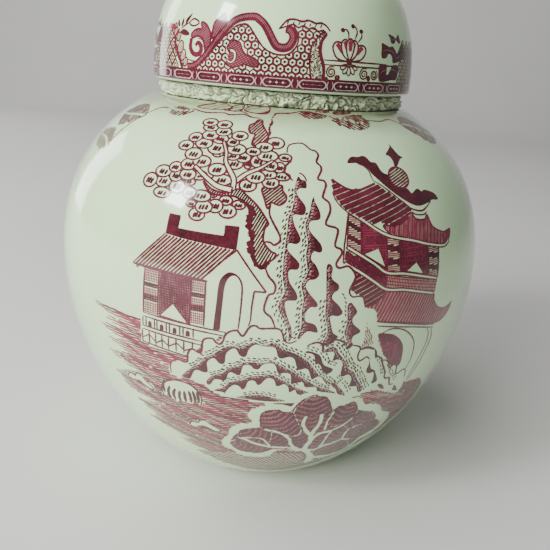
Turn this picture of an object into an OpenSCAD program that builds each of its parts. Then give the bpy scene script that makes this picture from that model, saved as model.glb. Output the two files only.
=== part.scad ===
// Ginger jar: a round pot with a short neck, a relief collar under the lid and a domed cap lid.
// The origin is the middle of the foot ring, on the surface that the jar stands on. Millimetres, +Z up.

/* [Body] */
// Radius of the body at its widest
belly_r = 75; // [70:0.5:80]
// Height of the widest part above the table
belly_z = 72; // [70:0.5:76]
// Height of the shoulder curve, from the widest part to where the curve would close
shoulder_rise = 64; // [62:0.5:68]
// Depth of the lower curve, from the widest part to where the curve would close
base_drop = 91; // [88:0.5:94]
// Thickness of the fired clay wall
wall = 4.5; // [3.5:0.1:5]

/* [Foot] */
// Outer radius of the foot ring
foot_r = 41.5; // [40:0.5:44]
// Width of the foot ring
foot_w = 6; // [4:0.5:7]
// Height of the foot ring
foot_h = 3; // [2:0.1:3.5]
// Thickness of the floor over the hollow of the foot
floor_t = 5; // [4:0.1:6]

/* [Neck] */
// Outer radius of the neck
neck_r = 38.4; // [37.8:0.1:38.6]
// Height of the neck above the shoulder
neck_h = 17; // [12:0.5:20]
// Thickness of the neck wall
neck_wall = 3.8; // [3:0.1:4]

/* [Collar] */
// Outer radius of the relief collar around the neck
collar_r = 42.1; // [41.5:0.1:42.3]
// Height of the relief collar
collar_h = 4.4; // [3:0.1:5]

/* [Lid] */
// Radius of the lid at its widest, just above the rim
lid_r = 44; // [43.8:0.1:46]
// Height of the lid
lid_h = 43; // [40:0.5:48]
// Thickness of the lid wall
lid_wall = 3.7; // [3:0.1:3.8]
// Gap between the collar and the lid's rim
lid_gap = 0.2; // [0.1:0.05:0.5]

/* [Hidden] */
$fn = 96;

// Squareness of the curves: 2 is an ellipse, and more is fuller at the corner
shoulder_power = 2.35;
base_power = 1.83;
lid_power = 2.6;

// Steps along each curve, and round a small edge
curve_steps = 20;
edge_steps = 4;

// Radius of the flat ledge, on top of the shoulder, that the collar stands on
ledge_r = collar_r + 0.8;
ledge_z = belly_z + oval_height(ledge_r, belly_r, shoulder_rise, shoulder_power);
lid_z = ledge_z + collar_h + lid_gap;
neck_top_z = ledge_z + neck_h;
mouth_r = neck_r - neck_wall;

cavity_r = belly_r - wall;
cavity_rise = shoulder_rise - wall;
cavity_drop = base_drop - wall;
cavity_floor_z = foot_h + floor_t;
floor_fillet = 3;

foot_chamfer = 0.6;
foot_cove = 0.8;
rim_edge = 1.1;
collar_edge = 0.9;

glaze = [0.86, 0.90, 0.84];
relief_glaze = [0.72, 0.77, 0.60];

// Height at which an oval quarter of width a and height b has radius r
function oval_height(r, a, b, p) = b * pow(1 - pow(r / a, p), 1 / p);

// Radius of the same quarter at height h
function oval_radius(h, a, b, p) = a * pow(1 - pow(h / b, p), 1 / p);

// Angle at which the point of the quarter has radius r
function oval_angle(r, a, p) = acos(pow(r / a, p / 2));

// Points of an oval quarter [radius, height] between two angles, in steps of the angle
function oval_points(a, b, p, from, to) =
    [for (i = [0 : curve_steps])
        let (t = from + (to - from) * i / curve_steps)
        [a * pow(cos(t), 2 / p), b * pow(sin(t), 2 / p)]];

// Points of a small round edge between two angles
function edge_points(cx, cz, r, from, to) =
    [for (i = [0 : edge_steps])
        let (t = from + (to - from) * i / edge_steps)
        [cx + r * cos(t), cz + r * sin(t)]];

function lifted(points, z) = [for (q = points) [q[0], z + q[1]]];
function sunk(points, z) = [for (q = points) [q[0], z - q[1]]];
function without_first(points) = [for (i = [1 : len(points) - 1]) points[i]];

// Outside of the pot, from the foot up to the ledge
function body_outside() =
    let (base_r = oval_radius(belly_z - foot_h, belly_r, base_drop, base_power))
    concat(
        [[foot_r - foot_chamfer, 0], [foot_r, foot_chamfer], [foot_r, foot_h - foot_cove]],
        [[foot_r + foot_cove, foot_h]],
        sunk(oval_points(belly_r, base_drop, base_power, oval_angle(base_r, belly_r, base_power), 0), belly_z),
        without_first(lifted(oval_points(belly_r, shoulder_rise, shoulder_power, 0,
            oval_angle(ledge_r, belly_r, shoulder_power)), belly_z)));

// Neck with a rounded rim, from the ledge up and over to the mouth
function neck_outside() =
    concat(
        [[neck_r, ledge_z]],
        edge_points(neck_r - rim_edge, neck_top_z - rim_edge, rim_edge, 0, 90),
        edge_points(mouth_r + rim_edge, neck_top_z - rim_edge, rim_edge, 90, 180));

// Inside of the pot, from the mouth down to the middle of the floor
function body_inside() =
    let (floor_r = oval_radius(belly_z - cavity_floor_z - floor_fillet, cavity_r, cavity_drop, base_power))
    concat(
        lifted(oval_points(cavity_r, cavity_rise, shoulder_power,
            oval_angle(mouth_r, cavity_r, shoulder_power), 0), belly_z),
        without_first(sunk(oval_points(cavity_r, cavity_drop, base_power, 0,
            oval_angle(floor_r, cavity_r, base_power)), belly_z)),
        [[floor_r - floor_fillet, cavity_floor_z], [0, cavity_floor_z]]);

// Hollow under the floor, inside the foot ring
function foot_hollow() =
    [[0, foot_h], [foot_r - foot_w - foot_cove, foot_h], [foot_r - foot_w, foot_h - foot_cove],
        [foot_r - foot_w, foot_chamfer], [foot_r - foot_w + foot_chamfer, 0]];

module jar_body() {
    color(glaze)
        rotate_extrude()
            polygon(concat(body_outside(), neck_outside(), body_inside(), foot_hollow()));
}

// The collar stands on the ledge, around the neck
module neck_band() {
    color(relief_glaze)
        translate([0, 0, ledge_z])
            rotate_extrude()
                polygon(concat(
                    [[neck_r, 0], [collar_r - collar_edge / 2, 0]],
                    edge_points(collar_r - collar_edge, collar_edge, collar_edge, -60, 0),
                    edge_points(collar_r - collar_edge, collar_h - collar_edge, collar_edge, 0, 90),
                    [[neck_r, collar_h]]));
}

// Outside of the lid, from its rim up to the middle of the dome
function lid_outside() =
    let (edge_r = oval_radius(rim_edge, lid_r, lid_h, lid_power))
    concat(
        edge_points(edge_r - rim_edge, rim_edge, rim_edge, -90, 0),
        without_first(oval_points(lid_r, lid_h, lid_power, oval_angle(edge_r, lid_r, lid_power), 90)));

// Inside of the lid, from the middle of the dome down to its rim
function lid_inside() =
    oval_points(lid_r - lid_wall, lid_h - lid_wall, lid_power, 90, 0);

module lid() {
    color(glaze)
        translate([0, 0, lid_z])
            rotate_extrude()
                polygon(concat(lid_outside(), lid_inside()));
}

jar_body();
neck_band();
lid();
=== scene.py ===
"""Ginger jar: glazed pot, relief collar and cap lid, with a printed island scene on a floor in soft light."""

import math

import bpy
import numpy as np
from mathutils import Matrix, Vector, noise
from mathutils.geometry import delaunay_2d_cdt


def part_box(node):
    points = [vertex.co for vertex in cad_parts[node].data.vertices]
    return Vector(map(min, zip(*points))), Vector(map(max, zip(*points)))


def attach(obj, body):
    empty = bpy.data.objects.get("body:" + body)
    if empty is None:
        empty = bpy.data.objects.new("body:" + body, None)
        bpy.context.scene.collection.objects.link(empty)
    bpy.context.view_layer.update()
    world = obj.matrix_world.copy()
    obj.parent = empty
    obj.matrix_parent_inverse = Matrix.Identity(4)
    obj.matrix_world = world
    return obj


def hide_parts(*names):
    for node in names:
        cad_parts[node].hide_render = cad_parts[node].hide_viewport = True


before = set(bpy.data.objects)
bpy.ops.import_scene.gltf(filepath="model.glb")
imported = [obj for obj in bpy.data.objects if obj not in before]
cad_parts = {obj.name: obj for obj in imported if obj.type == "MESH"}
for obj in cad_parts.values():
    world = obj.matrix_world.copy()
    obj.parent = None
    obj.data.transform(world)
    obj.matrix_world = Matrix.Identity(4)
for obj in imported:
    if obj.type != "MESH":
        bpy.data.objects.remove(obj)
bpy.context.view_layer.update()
rng = np.random.default_rng(11)
MM = 0.001

# ---------------------------------------------------------------- sizes, in millimetres
# Heights and outer radii are measured on the frame. The other values are the CAD part's own.
body_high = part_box("jar_body")[1] / MM
band_low, band_high = (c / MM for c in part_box("neck_band"))
lid_low, lid_high = (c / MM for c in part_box("lid"))

belly_r = body_high.x
belly_z = 72.0
shoulder_rise = 64.0
base_drop = 91.0
shoulder_power = 2.35
base_power = 1.83
wall = 4.5
foot_r = 41.5
foot_w = 6.0
foot_h = 3.0
foot_cove = 0.8
foot_chamfer = 0.6
floor_z = 8.0
floor_fillet = 3.0
collar_r = band_high.x
collar_h = band_high.z - band_low.z
ledge_r = collar_r + 0.8
ledge_z = band_low.z
neck_r = 38.4
mouth_r = 34.6
neck_top_z = body_high.z
rim_edge = 1.1
lid_r = lid_high.x
lid_z = lid_low.z
lid_h = lid_high.z - lid_low.z
lid_wall = 3.7
lid_power = 2.6


# ---------------------------------------------------------------- surfaces of revolution
def oval(a, b, power, start, end, count):
    """Points [radius, height] of an oval quarter, from angle start to end in degrees."""
    t = np.radians(np.linspace(start, end, count))
    return np.stack([a * np.cos(t).clip(0) ** (2 / power), b * np.sin(t).clip(0) ** (2 / power)], 1)


def oval_angle(r, a, power):
    return math.degrees(math.acos((r / a) ** (power / 2)))


def oval_radius(height, a, b, power):
    return a * (1 - (height / b) ** power) ** (1 / power)


def arc(cx, cz, r, start, end, count=8):
    t = np.radians(np.linspace(start, end, count))
    return np.stack([cx + r * np.cos(t), cz + r * np.sin(t)], 1)


def even(points, step):
    """The same outline with points about one step apart."""
    points = np.asarray(points, float)
    run = np.concatenate([[0], np.cumsum(np.hypot(*np.diff(points, axis=0).T))])
    at = np.linspace(0, run[-1], max(2, int(run[-1] / step) + 1))
    return np.stack([np.interp(at, run, points[:, k]) for k in (0, 1)], 1)


class Skin:
    """The printed outside of a round piece: u mm round it, counted at its widest, and v mm up its curve."""

    def __init__(self, points, girth, known_z, known_v=0.0):
        fine = even(points, 0.2)
        run = np.concatenate([[0], np.cumsum(np.hypot(*np.diff(fine, axis=0).T))])
        self.girth = girth
        self.r = fine[:, 0]
        self.z = fine[:, 1]
        self.v = run - np.interp(known_z, self.z, run) + known_v
        self.dr = np.gradient(self.r, self.v)
        self.dz = np.gradient(self.z, self.v)

    def place(self, u, v, lift=0.0):
        """World points, outward normals and the two unit tangents at u, v."""
        u = np.asarray(u, float)
        v = np.asarray(v, float)
        r, z, dr, dz = (np.interp(v, self.v, k) for k in (self.r, self.z, self.dr, self.dz))
        long = np.hypot(dr, dz)
        dr, dz = dr / long, dz / long
        a = u / self.girth
        s, c = np.sin(a), np.cos(a)
        out = np.stack([dz * s, -dz * c, -dr], -1)
        east = np.stack([c, s, 0 * a], -1)
        north = np.stack([dr * s, -dr * c, dz], -1)
        spot = np.stack([r * s, -r * c, z], -1)
        return spot + out * lift, out, east, north, r / self.girth


shoulder = oval(belly_r, shoulder_rise, shoulder_power, 0, oval_angle(ledge_r, belly_r, shoulder_power), 200)
base_top = oval_radius(belly_z - foot_h, belly_r, base_drop, base_power)
base = oval(belly_r, base_drop, base_power, oval_angle(base_top, belly_r, base_power), 0, 200)
body_curve = np.concatenate([base * (1, -1) + (0, belly_z), (shoulder + (0, belly_z))[1:]])
body_skin = Skin(body_curve, belly_r, belly_z)

lid_edge_r = oval_radius(rim_edge, lid_r, lid_h, lid_power)
lid_dome = oval(lid_r, lid_h, lid_power, oval_angle(lid_edge_r, lid_r, lid_power), 90, 300)
lid_rim = arc(lid_edge_r - rim_edge, rim_edge, rim_edge, -90, 0)
lid_curve = np.concatenate([lid_rim, lid_dome[1:]]) + (0, lid_z)
lid_skin = Skin(lid_curve[4:], lid_r, lid_z + rim_edge, rim_edge)


def new_object(name, points, faces, materials, face_material=None):
    mesh = bpy.data.meshes.new(name)
    mesh.from_pydata(np.asarray(points) * MM, [], faces)
    for m in materials:
        mesh.materials.append(m)
    if face_material is not None:
        mesh.polygons.foreach_set("material_index", np.asarray(face_material, np.int32))
    mesh.polygons.foreach_set("use_smooth", np.full(len(mesh.polygons), True))
    mesh.update()
    obj = bpy.data.objects.new(name, mesh)
    bpy.context.scene.collection.objects.link(obj)
    return obj


def lathe(name, outlines, materials, turns=360):
    """A closed turned piece. outlines is a list of (outline, material number), end to end."""
    rows = []
    kinds = []
    for points, kind in outlines:
        points = points if not rows else points[1:]
        rows.extend(points)
        kinds.extend([kind] * len(points))
    closed = rows[0][0] > 1e-6
    ring = [(math.sin(a), -math.cos(a)) for a in np.linspace(0, 2 * math.pi, turns, endpoint=False)]
    pts = []
    rings = []
    for r, z in rows:
        first = len(pts)
        if r < 1e-6:
            pts.append((0.0, 0.0, z))
            rings.append([first] * (turns + 1))
        else:
            pts.extend((r * x, r * y, z) for x, y in ring)
            rings.append([*range(first, first + turns), first])
    faces = []
    marks = []
    count = len(rows)
    for i in range(count if closed else count - 1):
        low, high = rings[i], rings[(i + 1) % count]
        for k in range(turns):
            face = dict.fromkeys((low[k], low[k + 1], high[k + 1], high[k]))
            faces.append(tuple(face))
            marks.append(kinds[(i + 1) % count])
    return new_object(name, pts, faces, materials, marks)


# ---------------------------------------------------------------- materials
def shader(name):
    mat = bpy.data.materials.new(name)
    mat.use_nodes = True
    nodes = mat.node_tree.nodes
    return mat, nodes, mat.node_tree.links, nodes["Principled BSDF"]


def place_in_object(nodes):
    return nodes.new("ShaderNodeTexCoord").outputs["Object"]


def noise_at(nodes, links, where, scale, detail=3.0, rough=0.55):
    n = nodes.new("ShaderNodeTexNoise")
    n.inputs["Scale"].default_value = scale
    n.inputs["Detail"].default_value = detail
    n.inputs["Roughness"].default_value = rough
    links.new(where, n.inputs["Vector"])
    return n.outputs["Fac"]


def ramp(nodes, links, value, stops):
    n = nodes.new("ShaderNodeValToRGB")
    while len(n.color_ramp.elements) < len(stops):
        n.color_ramp.elements.new(0.5)
    for e, (at, colour) in zip(n.color_ramp.elements, stops):
        e.position = at
        e.color = (*colour, 1) if len(colour) == 3 else colour
    links.new(value, n.inputs["Fac"])
    return n.outputs["Color"]


def mix(nodes, links, share, a, b, way="MIX"):
    n = nodes.new("ShaderNodeMix")
    n.data_type = "RGBA"
    n.blend_type = way
    for socket, value in ((n.inputs[0], share), (n.inputs[6], a), (n.inputs[7], b)):
        if isinstance(value, bpy.types.NodeSocket):
            links.new(value, socket)
        elif isinstance(value, (tuple, list)):
            socket.default_value = (*value, 1)
        else:
            socket.default_value = value
    return n.outputs[2]


def maths(nodes, links, way, a, b=0.0):
    n = nodes.new("ShaderNodeMath")
    n.operation = way
    for socket, value in ((n.inputs[0], a), (n.inputs[1], b)):
        if isinstance(value, bpy.types.NodeSocket):
            links.new(value, socket)
        else:
            socket.default_value = value
    return n.outputs[0]


def red_of(nodes, links, colour):
    n = nodes.new("ShaderNodeSeparateColor")
    links.new(colour, n.inputs[0])
    return n.outputs[0]


def bump(nodes, links, height, strength, distance, under=None):
    """Normals that follow a height, on top of those of another bump if one is given; distance is in m."""
    n = nodes.new("ShaderNodeBump")
    n.inputs["Strength"].default_value = strength
    n.inputs["Distance"].default_value = distance
    links.new(height, n.inputs["Height"])
    if under is not None:
        links.new(under, n.inputs["Normal"])
    return n.outputs["Normal"]


def gloss(p, rough=0.13, coat=0.7):
    p.inputs["Roughness"].default_value = rough
    p.inputs["IOR"].default_value = 1.52
    p.inputs["Coat Weight"].default_value = coat
    p.inputs["Coat Roughness"].default_value = 0.04


def glaze_bump(nodes, links, p, where):
    """Soft waves and a faint orange peel in the glaze."""
    wave = bump(nodes, links, noise_at(nodes, links, where, 45.0, 2.0), 0.35, 0.0006)
    peel = bump(nodes, links, noise_at(nodes, links, where, 420.0, 2.0), 0.12, 0.00012, wave)
    links.new(peel, p.inputs["Normal"])


def glaze_material(name, pool_shade_low=None, pool_shade_high=None):
    """Pale celadon glaze: cloudy, crazed and specked; greener and darker from the lower to the upper height
    given, in m, for glaze pooled at the neck and painted shade under the collar.
    """
    mat, nodes, links, p = shader(name)
    where = place_in_object(nodes)
    cloud = noise_at(nodes, links, where, 22.0, 4.0)
    colour = ramp(nodes, links, cloud, [(0.3, (0.57, 0.83, 0.46)), (0.7, (0.67, 0.90, 0.55))])

    warp = mix(nodes, links, 0.02, where, noise_at(nodes, links, where, 60.0, 2.0))
    crack = nodes.new("ShaderNodeTexVoronoi")
    crack.feature = "DISTANCE_TO_EDGE"
    crack.inputs["Scale"].default_value = 95.0
    links.new(warp, crack.inputs["Vector"])
    fine = ramp(nodes, links, crack.outputs["Distance"], [(0.0, (0.9, 0.9, 0.88)), (0.018, (1, 1, 1))])
    colour = mix(nodes, links, 0.35, colour, fine, "MULTIPLY")

    speck = nodes.new("ShaderNodeTexVoronoi")
    speck.inputs["Scale"].default_value = 85.0
    links.new(where, speck.inputs["Vector"])
    few = maths(nodes, links, "GREATER_THAN", red_of(nodes, links, speck.outputs["Color"]), 0.9)
    near = maths(nodes, links, "LESS_THAN", speck.outputs["Distance"], 0.045)
    colour = mix(nodes, links, maths(nodes, links, "MULTIPLY", few, near), colour, (0.12, 0.13, 0.09))

    # Painted shade: dark olive towards the ledge, partly glaze pooled at the neck and partly the shade under
    # the collar.
    if pool_shade_low is not None:
        split = nodes.new("ShaderNodeSeparateXYZ")
        links.new(where, split.inputs[0])
        wobble = maths(nodes, links, "MULTIPLY", noise_at(nodes, links, where, 90.0, 2.0), 0.003)
        wobble = maths(nodes, links, "SUBTRACT", wobble, 0.0015)
        height = maths(nodes, links, "ADD", split.outputs["Z"], wobble)
        pool_shade = nodes.new("ShaderNodeMapRange")
        pool_shade.interpolation_type = "SMOOTHSTEP"
        pool_shade.inputs["From Min"].default_value = pool_shade_low
        pool_shade.inputs["From Max"].default_value = pool_shade_high
        links.new(height, pool_shade.inputs["Value"])
        colour = mix(nodes, links, pool_shade.outputs["Result"], colour, (0.30, 0.36, 0.20))
    links.new(colour, p.inputs["Base Color"])
    gloss(p)
    glaze_bump(nodes, links, p, where)
    return mat


def biscuit_material():
    """Bare fired clay on the foot ring and under the lid's rim."""
    mat, nodes, links, p = shader("bare_clay")
    where = place_in_object(nodes)
    grain = noise_at(nodes, links, where, 700.0, 4.0)
    colour = ramp(nodes, links, grain, [(0.3, (0.52, 0.46, 0.36)), (0.75, (0.72, 0.66, 0.55))])
    links.new(colour, p.inputs["Base Color"])
    p.inputs["Roughness"].default_value = 0.85
    links.new(bump(nodes, links, grain, 0.5, 0.0002), p.inputs["Normal"])
    return mat


def relief_material():
    """Celadon glaze over the relief: pale on the lumps, olive where it has run into the hollows, and near
    black deep in the hollows as painted shade.
    """
    mat, nodes, links, p = shader("relief_glaze")
    where = place_in_object(nodes)
    shade_from_hollows = nodes.new("ShaderNodeNewGeometry").outputs["Pointiness"]
    grain = noise_at(nodes, links, where, 520.0, 3.0)
    height = maths(nodes, links, "ADD", shade_from_hollows, maths(nodes, links, "MULTIPLY", grain, 0.08))
    # Painted shade: the lowest stops darken the hollows to near black, beyond what pooled glaze gives.
    colour = ramp(nodes, links, height, [
        (0.42, (0.10, 0.12, 0.05)),
        (0.50, (0.36, 0.43, 0.23)),
        (0.54, (0.60, 0.70, 0.44)),
        (0.63, (0.8, 0.88, 0.66)),
    ])
    links.new(colour, p.inputs["Base Color"])
    gloss(p, 0.2, 0.6)
    return mat


def ink_material(name, dark, light):
    """Crimson print under the glaze, stippled where the transfer took less colour."""
    mat, nodes, links, p = shader(name)
    where = place_in_object(nodes)
    patch = noise_at(nodes, links, where, 140.0, 3.0, 0.7)
    grain = noise_at(nodes, links, where, 1500.0, 2.0)
    value = maths(nodes, links, "ADD", patch, maths(nodes, links, "MULTIPLY", grain, 0.5))
    links.new(ramp(nodes, links, value, [(0.58, dark), (0.95, light)]), p.inputs["Base Color"])
    gloss(p)
    glaze_bump(nodes, links, p, where)
    return mat


# Height, in mm, where the pooled glaze and the painted shade under the collar begin.
pool_shade_start = 121.5
glaze = glaze_material("celadon_glaze", pool_shade_start * MM, (ledge_z + 0.4) * MM)
lid_glaze = glaze_material("celadon_glaze_lid")
biscuit = biscuit_material()
relief = relief_material()
INKS = [
    ink_material("ink_dark", (0.048, 0.006, 0.011), (0.115, 0.014, 0.026)),
    ink_material("ink_line", (0.085, 0.007, 0.019), (0.16, 0.018, 0.04)),
    ink_material("ink_mid", (0.21, 0.016, 0.045), (0.30, 0.032, 0.07)),
    ink_material("ink_pale", (0.22, 0.075, 0.085), (0.34, 0.14, 0.145)),
    ink_material("ink_blush", (0.50, 0.36, 0.34), (0.66, 0.50, 0.45)),
]


# ---------------------------------------------------------------- turned pieces
def make_body():
    neck = np.concatenate([
        [[ledge_r, ledge_z], [neck_r, ledge_z]],
        arc(neck_r - rim_edge, neck_top_z - rim_edge, rim_edge, 0, 90),
        arc(mouth_r + rim_edge, neck_top_z - rim_edge, rim_edge, 90, 180),
    ])
    cavity_r = belly_r - wall
    cavity_rise = shoulder_rise - wall
    cavity_drop = base_drop - wall
    top = oval(cavity_r, cavity_rise, shoulder_power, oval_angle(mouth_r, cavity_r, shoulder_power), 0, 90)
    low_r = oval_radius(belly_z - floor_z - floor_fillet, cavity_r, cavity_drop, base_power)
    low = oval(cavity_r, cavity_drop, base_power, 0, oval_angle(low_r, cavity_r, base_power), 90)
    inside = np.concatenate([
        [[mouth_r, neck_top_z - rim_edge]],
        top + (0, belly_z),
        (low * (1, -1) + (0, belly_z))[1:],
        arc(low_r - floor_fillet, floor_z + floor_fillet, floor_fillet, 0, -90)[1:],
        [[0.0, floor_z]],
    ])
    hollow_r = foot_r - foot_w
    cove_z = foot_h - foot_cove
    glaze_edge = [foot_r, 1.4]
    under = np.concatenate([[[0.0, foot_h]], arc(hollow_r - foot_cove, cove_z, foot_cove, 90, 0)])
    ring = np.array([[hollow_r, cove_z], [hollow_r, foot_chamfer], [hollow_r + foot_chamfer, 0],
                     [foot_r - foot_chamfer, 0], [foot_r, foot_chamfer], glaze_edge])
    cove = np.array([glaze_edge, [foot_r, cove_z], [foot_r + foot_cove, foot_h], body_curve[0]])
    obj = lathe("jar_body_glazed", [
        (even(under, 1.5), 0),
        (ring, 1),
        (cove, 0),
        (even(body_curve, 1.25), 0),
        (even(neck, 0.9), 0),
        (even(inside, 3.0), 0),
    ], [glaze, biscuit])
    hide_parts("jar_body")
    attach(obj, "jar")


def make_lid():
    inside = oval(lid_r - lid_wall, lid_h - lid_wall, lid_power, 90, 0, 90) + (0, lid_z)
    inner_foot = np.array([[lid_r - lid_wall, lid_z], [lid_edge_r - rim_edge, lid_z]])
    rim = np.concatenate([inner_foot, lid_curve[:3]])
    obj = lathe("lid_glazed", [
        (even(inside, 1.6), 0),
        (rim, 1),
        (even(lid_curve[2:], 0.8), 0),
    ], [lid_glaze, biscuit])
    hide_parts("lid")
    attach(obj, "lid")


def make_collar():
    """The relief collar: a crumbled ring of curls and lumps with pits between, glazed over."""
    turns, rows = 1500, 44
    relief_depth = 2.4
    lid_clearance = 0.35
    core_r = collar_r - relief_depth
    half_h = collar_h / 2
    centre_z = ledge_z + half_h
    pts = []
    for k in range(turns):
        a = 2 * math.pi * k / turns
        side = Vector((math.sin(a), -math.cos(a), 0))
        pts.append((*(side * (core_r - 1.5)).xy, centre_z))
        for s in np.linspace(-0.5 * math.pi, 0.5 * math.pi, rows - 1):
            spot = side * core_r + Vector((0, 0, math.sin(s) * half_h))
            bend = noise.noise_vector(spot * 0.45) * 1.6
            cells = noise.voronoi((spot + bend) * 0.26)[0]
            lump = min(1.0, (cells[1] - cells[0]) * 2.0)
            curl = 1 - abs(noise.noise((spot + bend) * 0.62)) * 2.6
            pit = noise.fractal(spot * 1.8, 0.9, 2.1, 3)
            push = 0.35 + 1.75 * lump ** 0.6 + 0.5 * curl * lump + 0.3 * pit
            r = min(core_r + max(0.1, push) * math.cos(s) ** 0.4, lid_r - lid_clearance)
            z = centre_z + math.sin(s) * half_h * (0.94 + 0.05 * pit)
            pts.append((r * side.x, r * side.y, min(max(z, ledge_z + 0.02), lid_z - 0.06)))
    faces = []
    for k in range(turns):
        n = (k + 1) % turns
        for i in range(rows):
            j = (i + 1) % rows
            faces.append((k * rows + i, n * rows + i, n * rows + j, k * rows + j))
    obj = new_object("relief_collar", pts, faces, [relief])
    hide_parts("neck_band")
    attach(obj, "jar")


make_body()
make_lid()
make_collar()


# ---------------------------------------------------------------- drawing tools for the print
# Places of the inks in INKS, from the darkest. PALE and BLUSH are laid over the others.
DARK, LINE, MID, PALE, BLUSH = range(5)
INK_SPREAD = 0.12


def smooth(points, closed=False, step=0.45):
    """A rounded line through the points."""
    p = np.asarray(points, float)
    if len(p) < 3:
        return even(p, step)
    if closed:
        q = np.concatenate([p[-1:], p, p[:2]])
    else:
        q = np.concatenate([2 * p[:1] - p[1:2], p, 2 * p[-1:] - p[-2:-1]])
    out = []
    for a, b, c, d in zip(q, q[1:], q[2:], q[3:]):
        count = max(2, int(np.hypot(*(c - b)) / step + 0.5))
        t = np.linspace(0, 1, count, endpoint=False)[:, None]
        run = t * (c - a) + t * t * (2 * a - 5 * b + 4 * c - d) + t**3 * (3 * b - a - 3 * c + d)
        out.append(b + 0.5 * run)
    out = np.concatenate(out)
    return out if closed else np.concatenate([out, p[-1:]])


def loop(points, step=0.45):
    """A rounded closed outline through the points."""
    return smooth(points, closed=True, step=step)


def cos_sin(degrees):
    return math.cos(math.radians(degrees)), math.sin(math.radians(degrees))


def stretches(show):
    """The start and end of each run of true values."""
    return np.flatnonzero(np.diff(np.r_[0, show.astype(int), 0])).reshape(-1, 2)


def inside(points, shape):
    """For each point, whether it lies within a closed outline."""
    x, y = points[:, :1], points[:, 1:]
    ax, ay = shape.T
    bx, by = np.roll(shape, -1, axis=0).T
    rise = np.where(by == ay, 1e-9, by - ay)
    crossed = ((ay > y) != (by > y)) & (x < (bx - ax) * (y - ay) / rise + ax)
    return crossed.sum(1) % 2 == 1


def oval_shape(u, v, a, b, tilt=0.0, count=26):
    t = np.linspace(0, 2 * math.pi, count, endpoint=False)
    c, s = cos_sin(tilt)
    x, y = a * np.cos(t), b * np.sin(t)
    return np.stack([u + x * c - y * s, v + x * s + y * c], 1)


def headings(line):
    """The unit direction of a line at each of its points."""
    run = np.gradient(line, axis=0)
    return run / np.maximum(np.hypot(*run.T), 1e-9)[:, None]


def beside(line, off):
    """The line moved sideways, to its left when off is positive."""
    line = np.asarray(line, float)
    run = headings(line)
    return line + np.stack([-run[:, 1], run[:, 0]], 1) * np.asarray(off)[..., None]


def swollen(shape, share):
    """A closed outline made larger about its middle."""
    return shape.mean(0) + (shape - shape.mean(0)) * share


def band_shape(line, width, step=0.6):
    """The closed outline of a stem that follows a line; width is one number, or one at each end."""
    line = smooth(line, step=step)
    half = np.linspace(*(width if isinstance(width, tuple) else (width, width)), len(line)) / 2
    return np.concatenate([beside(line, half), beside(line, -half)[::-1]])


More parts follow.
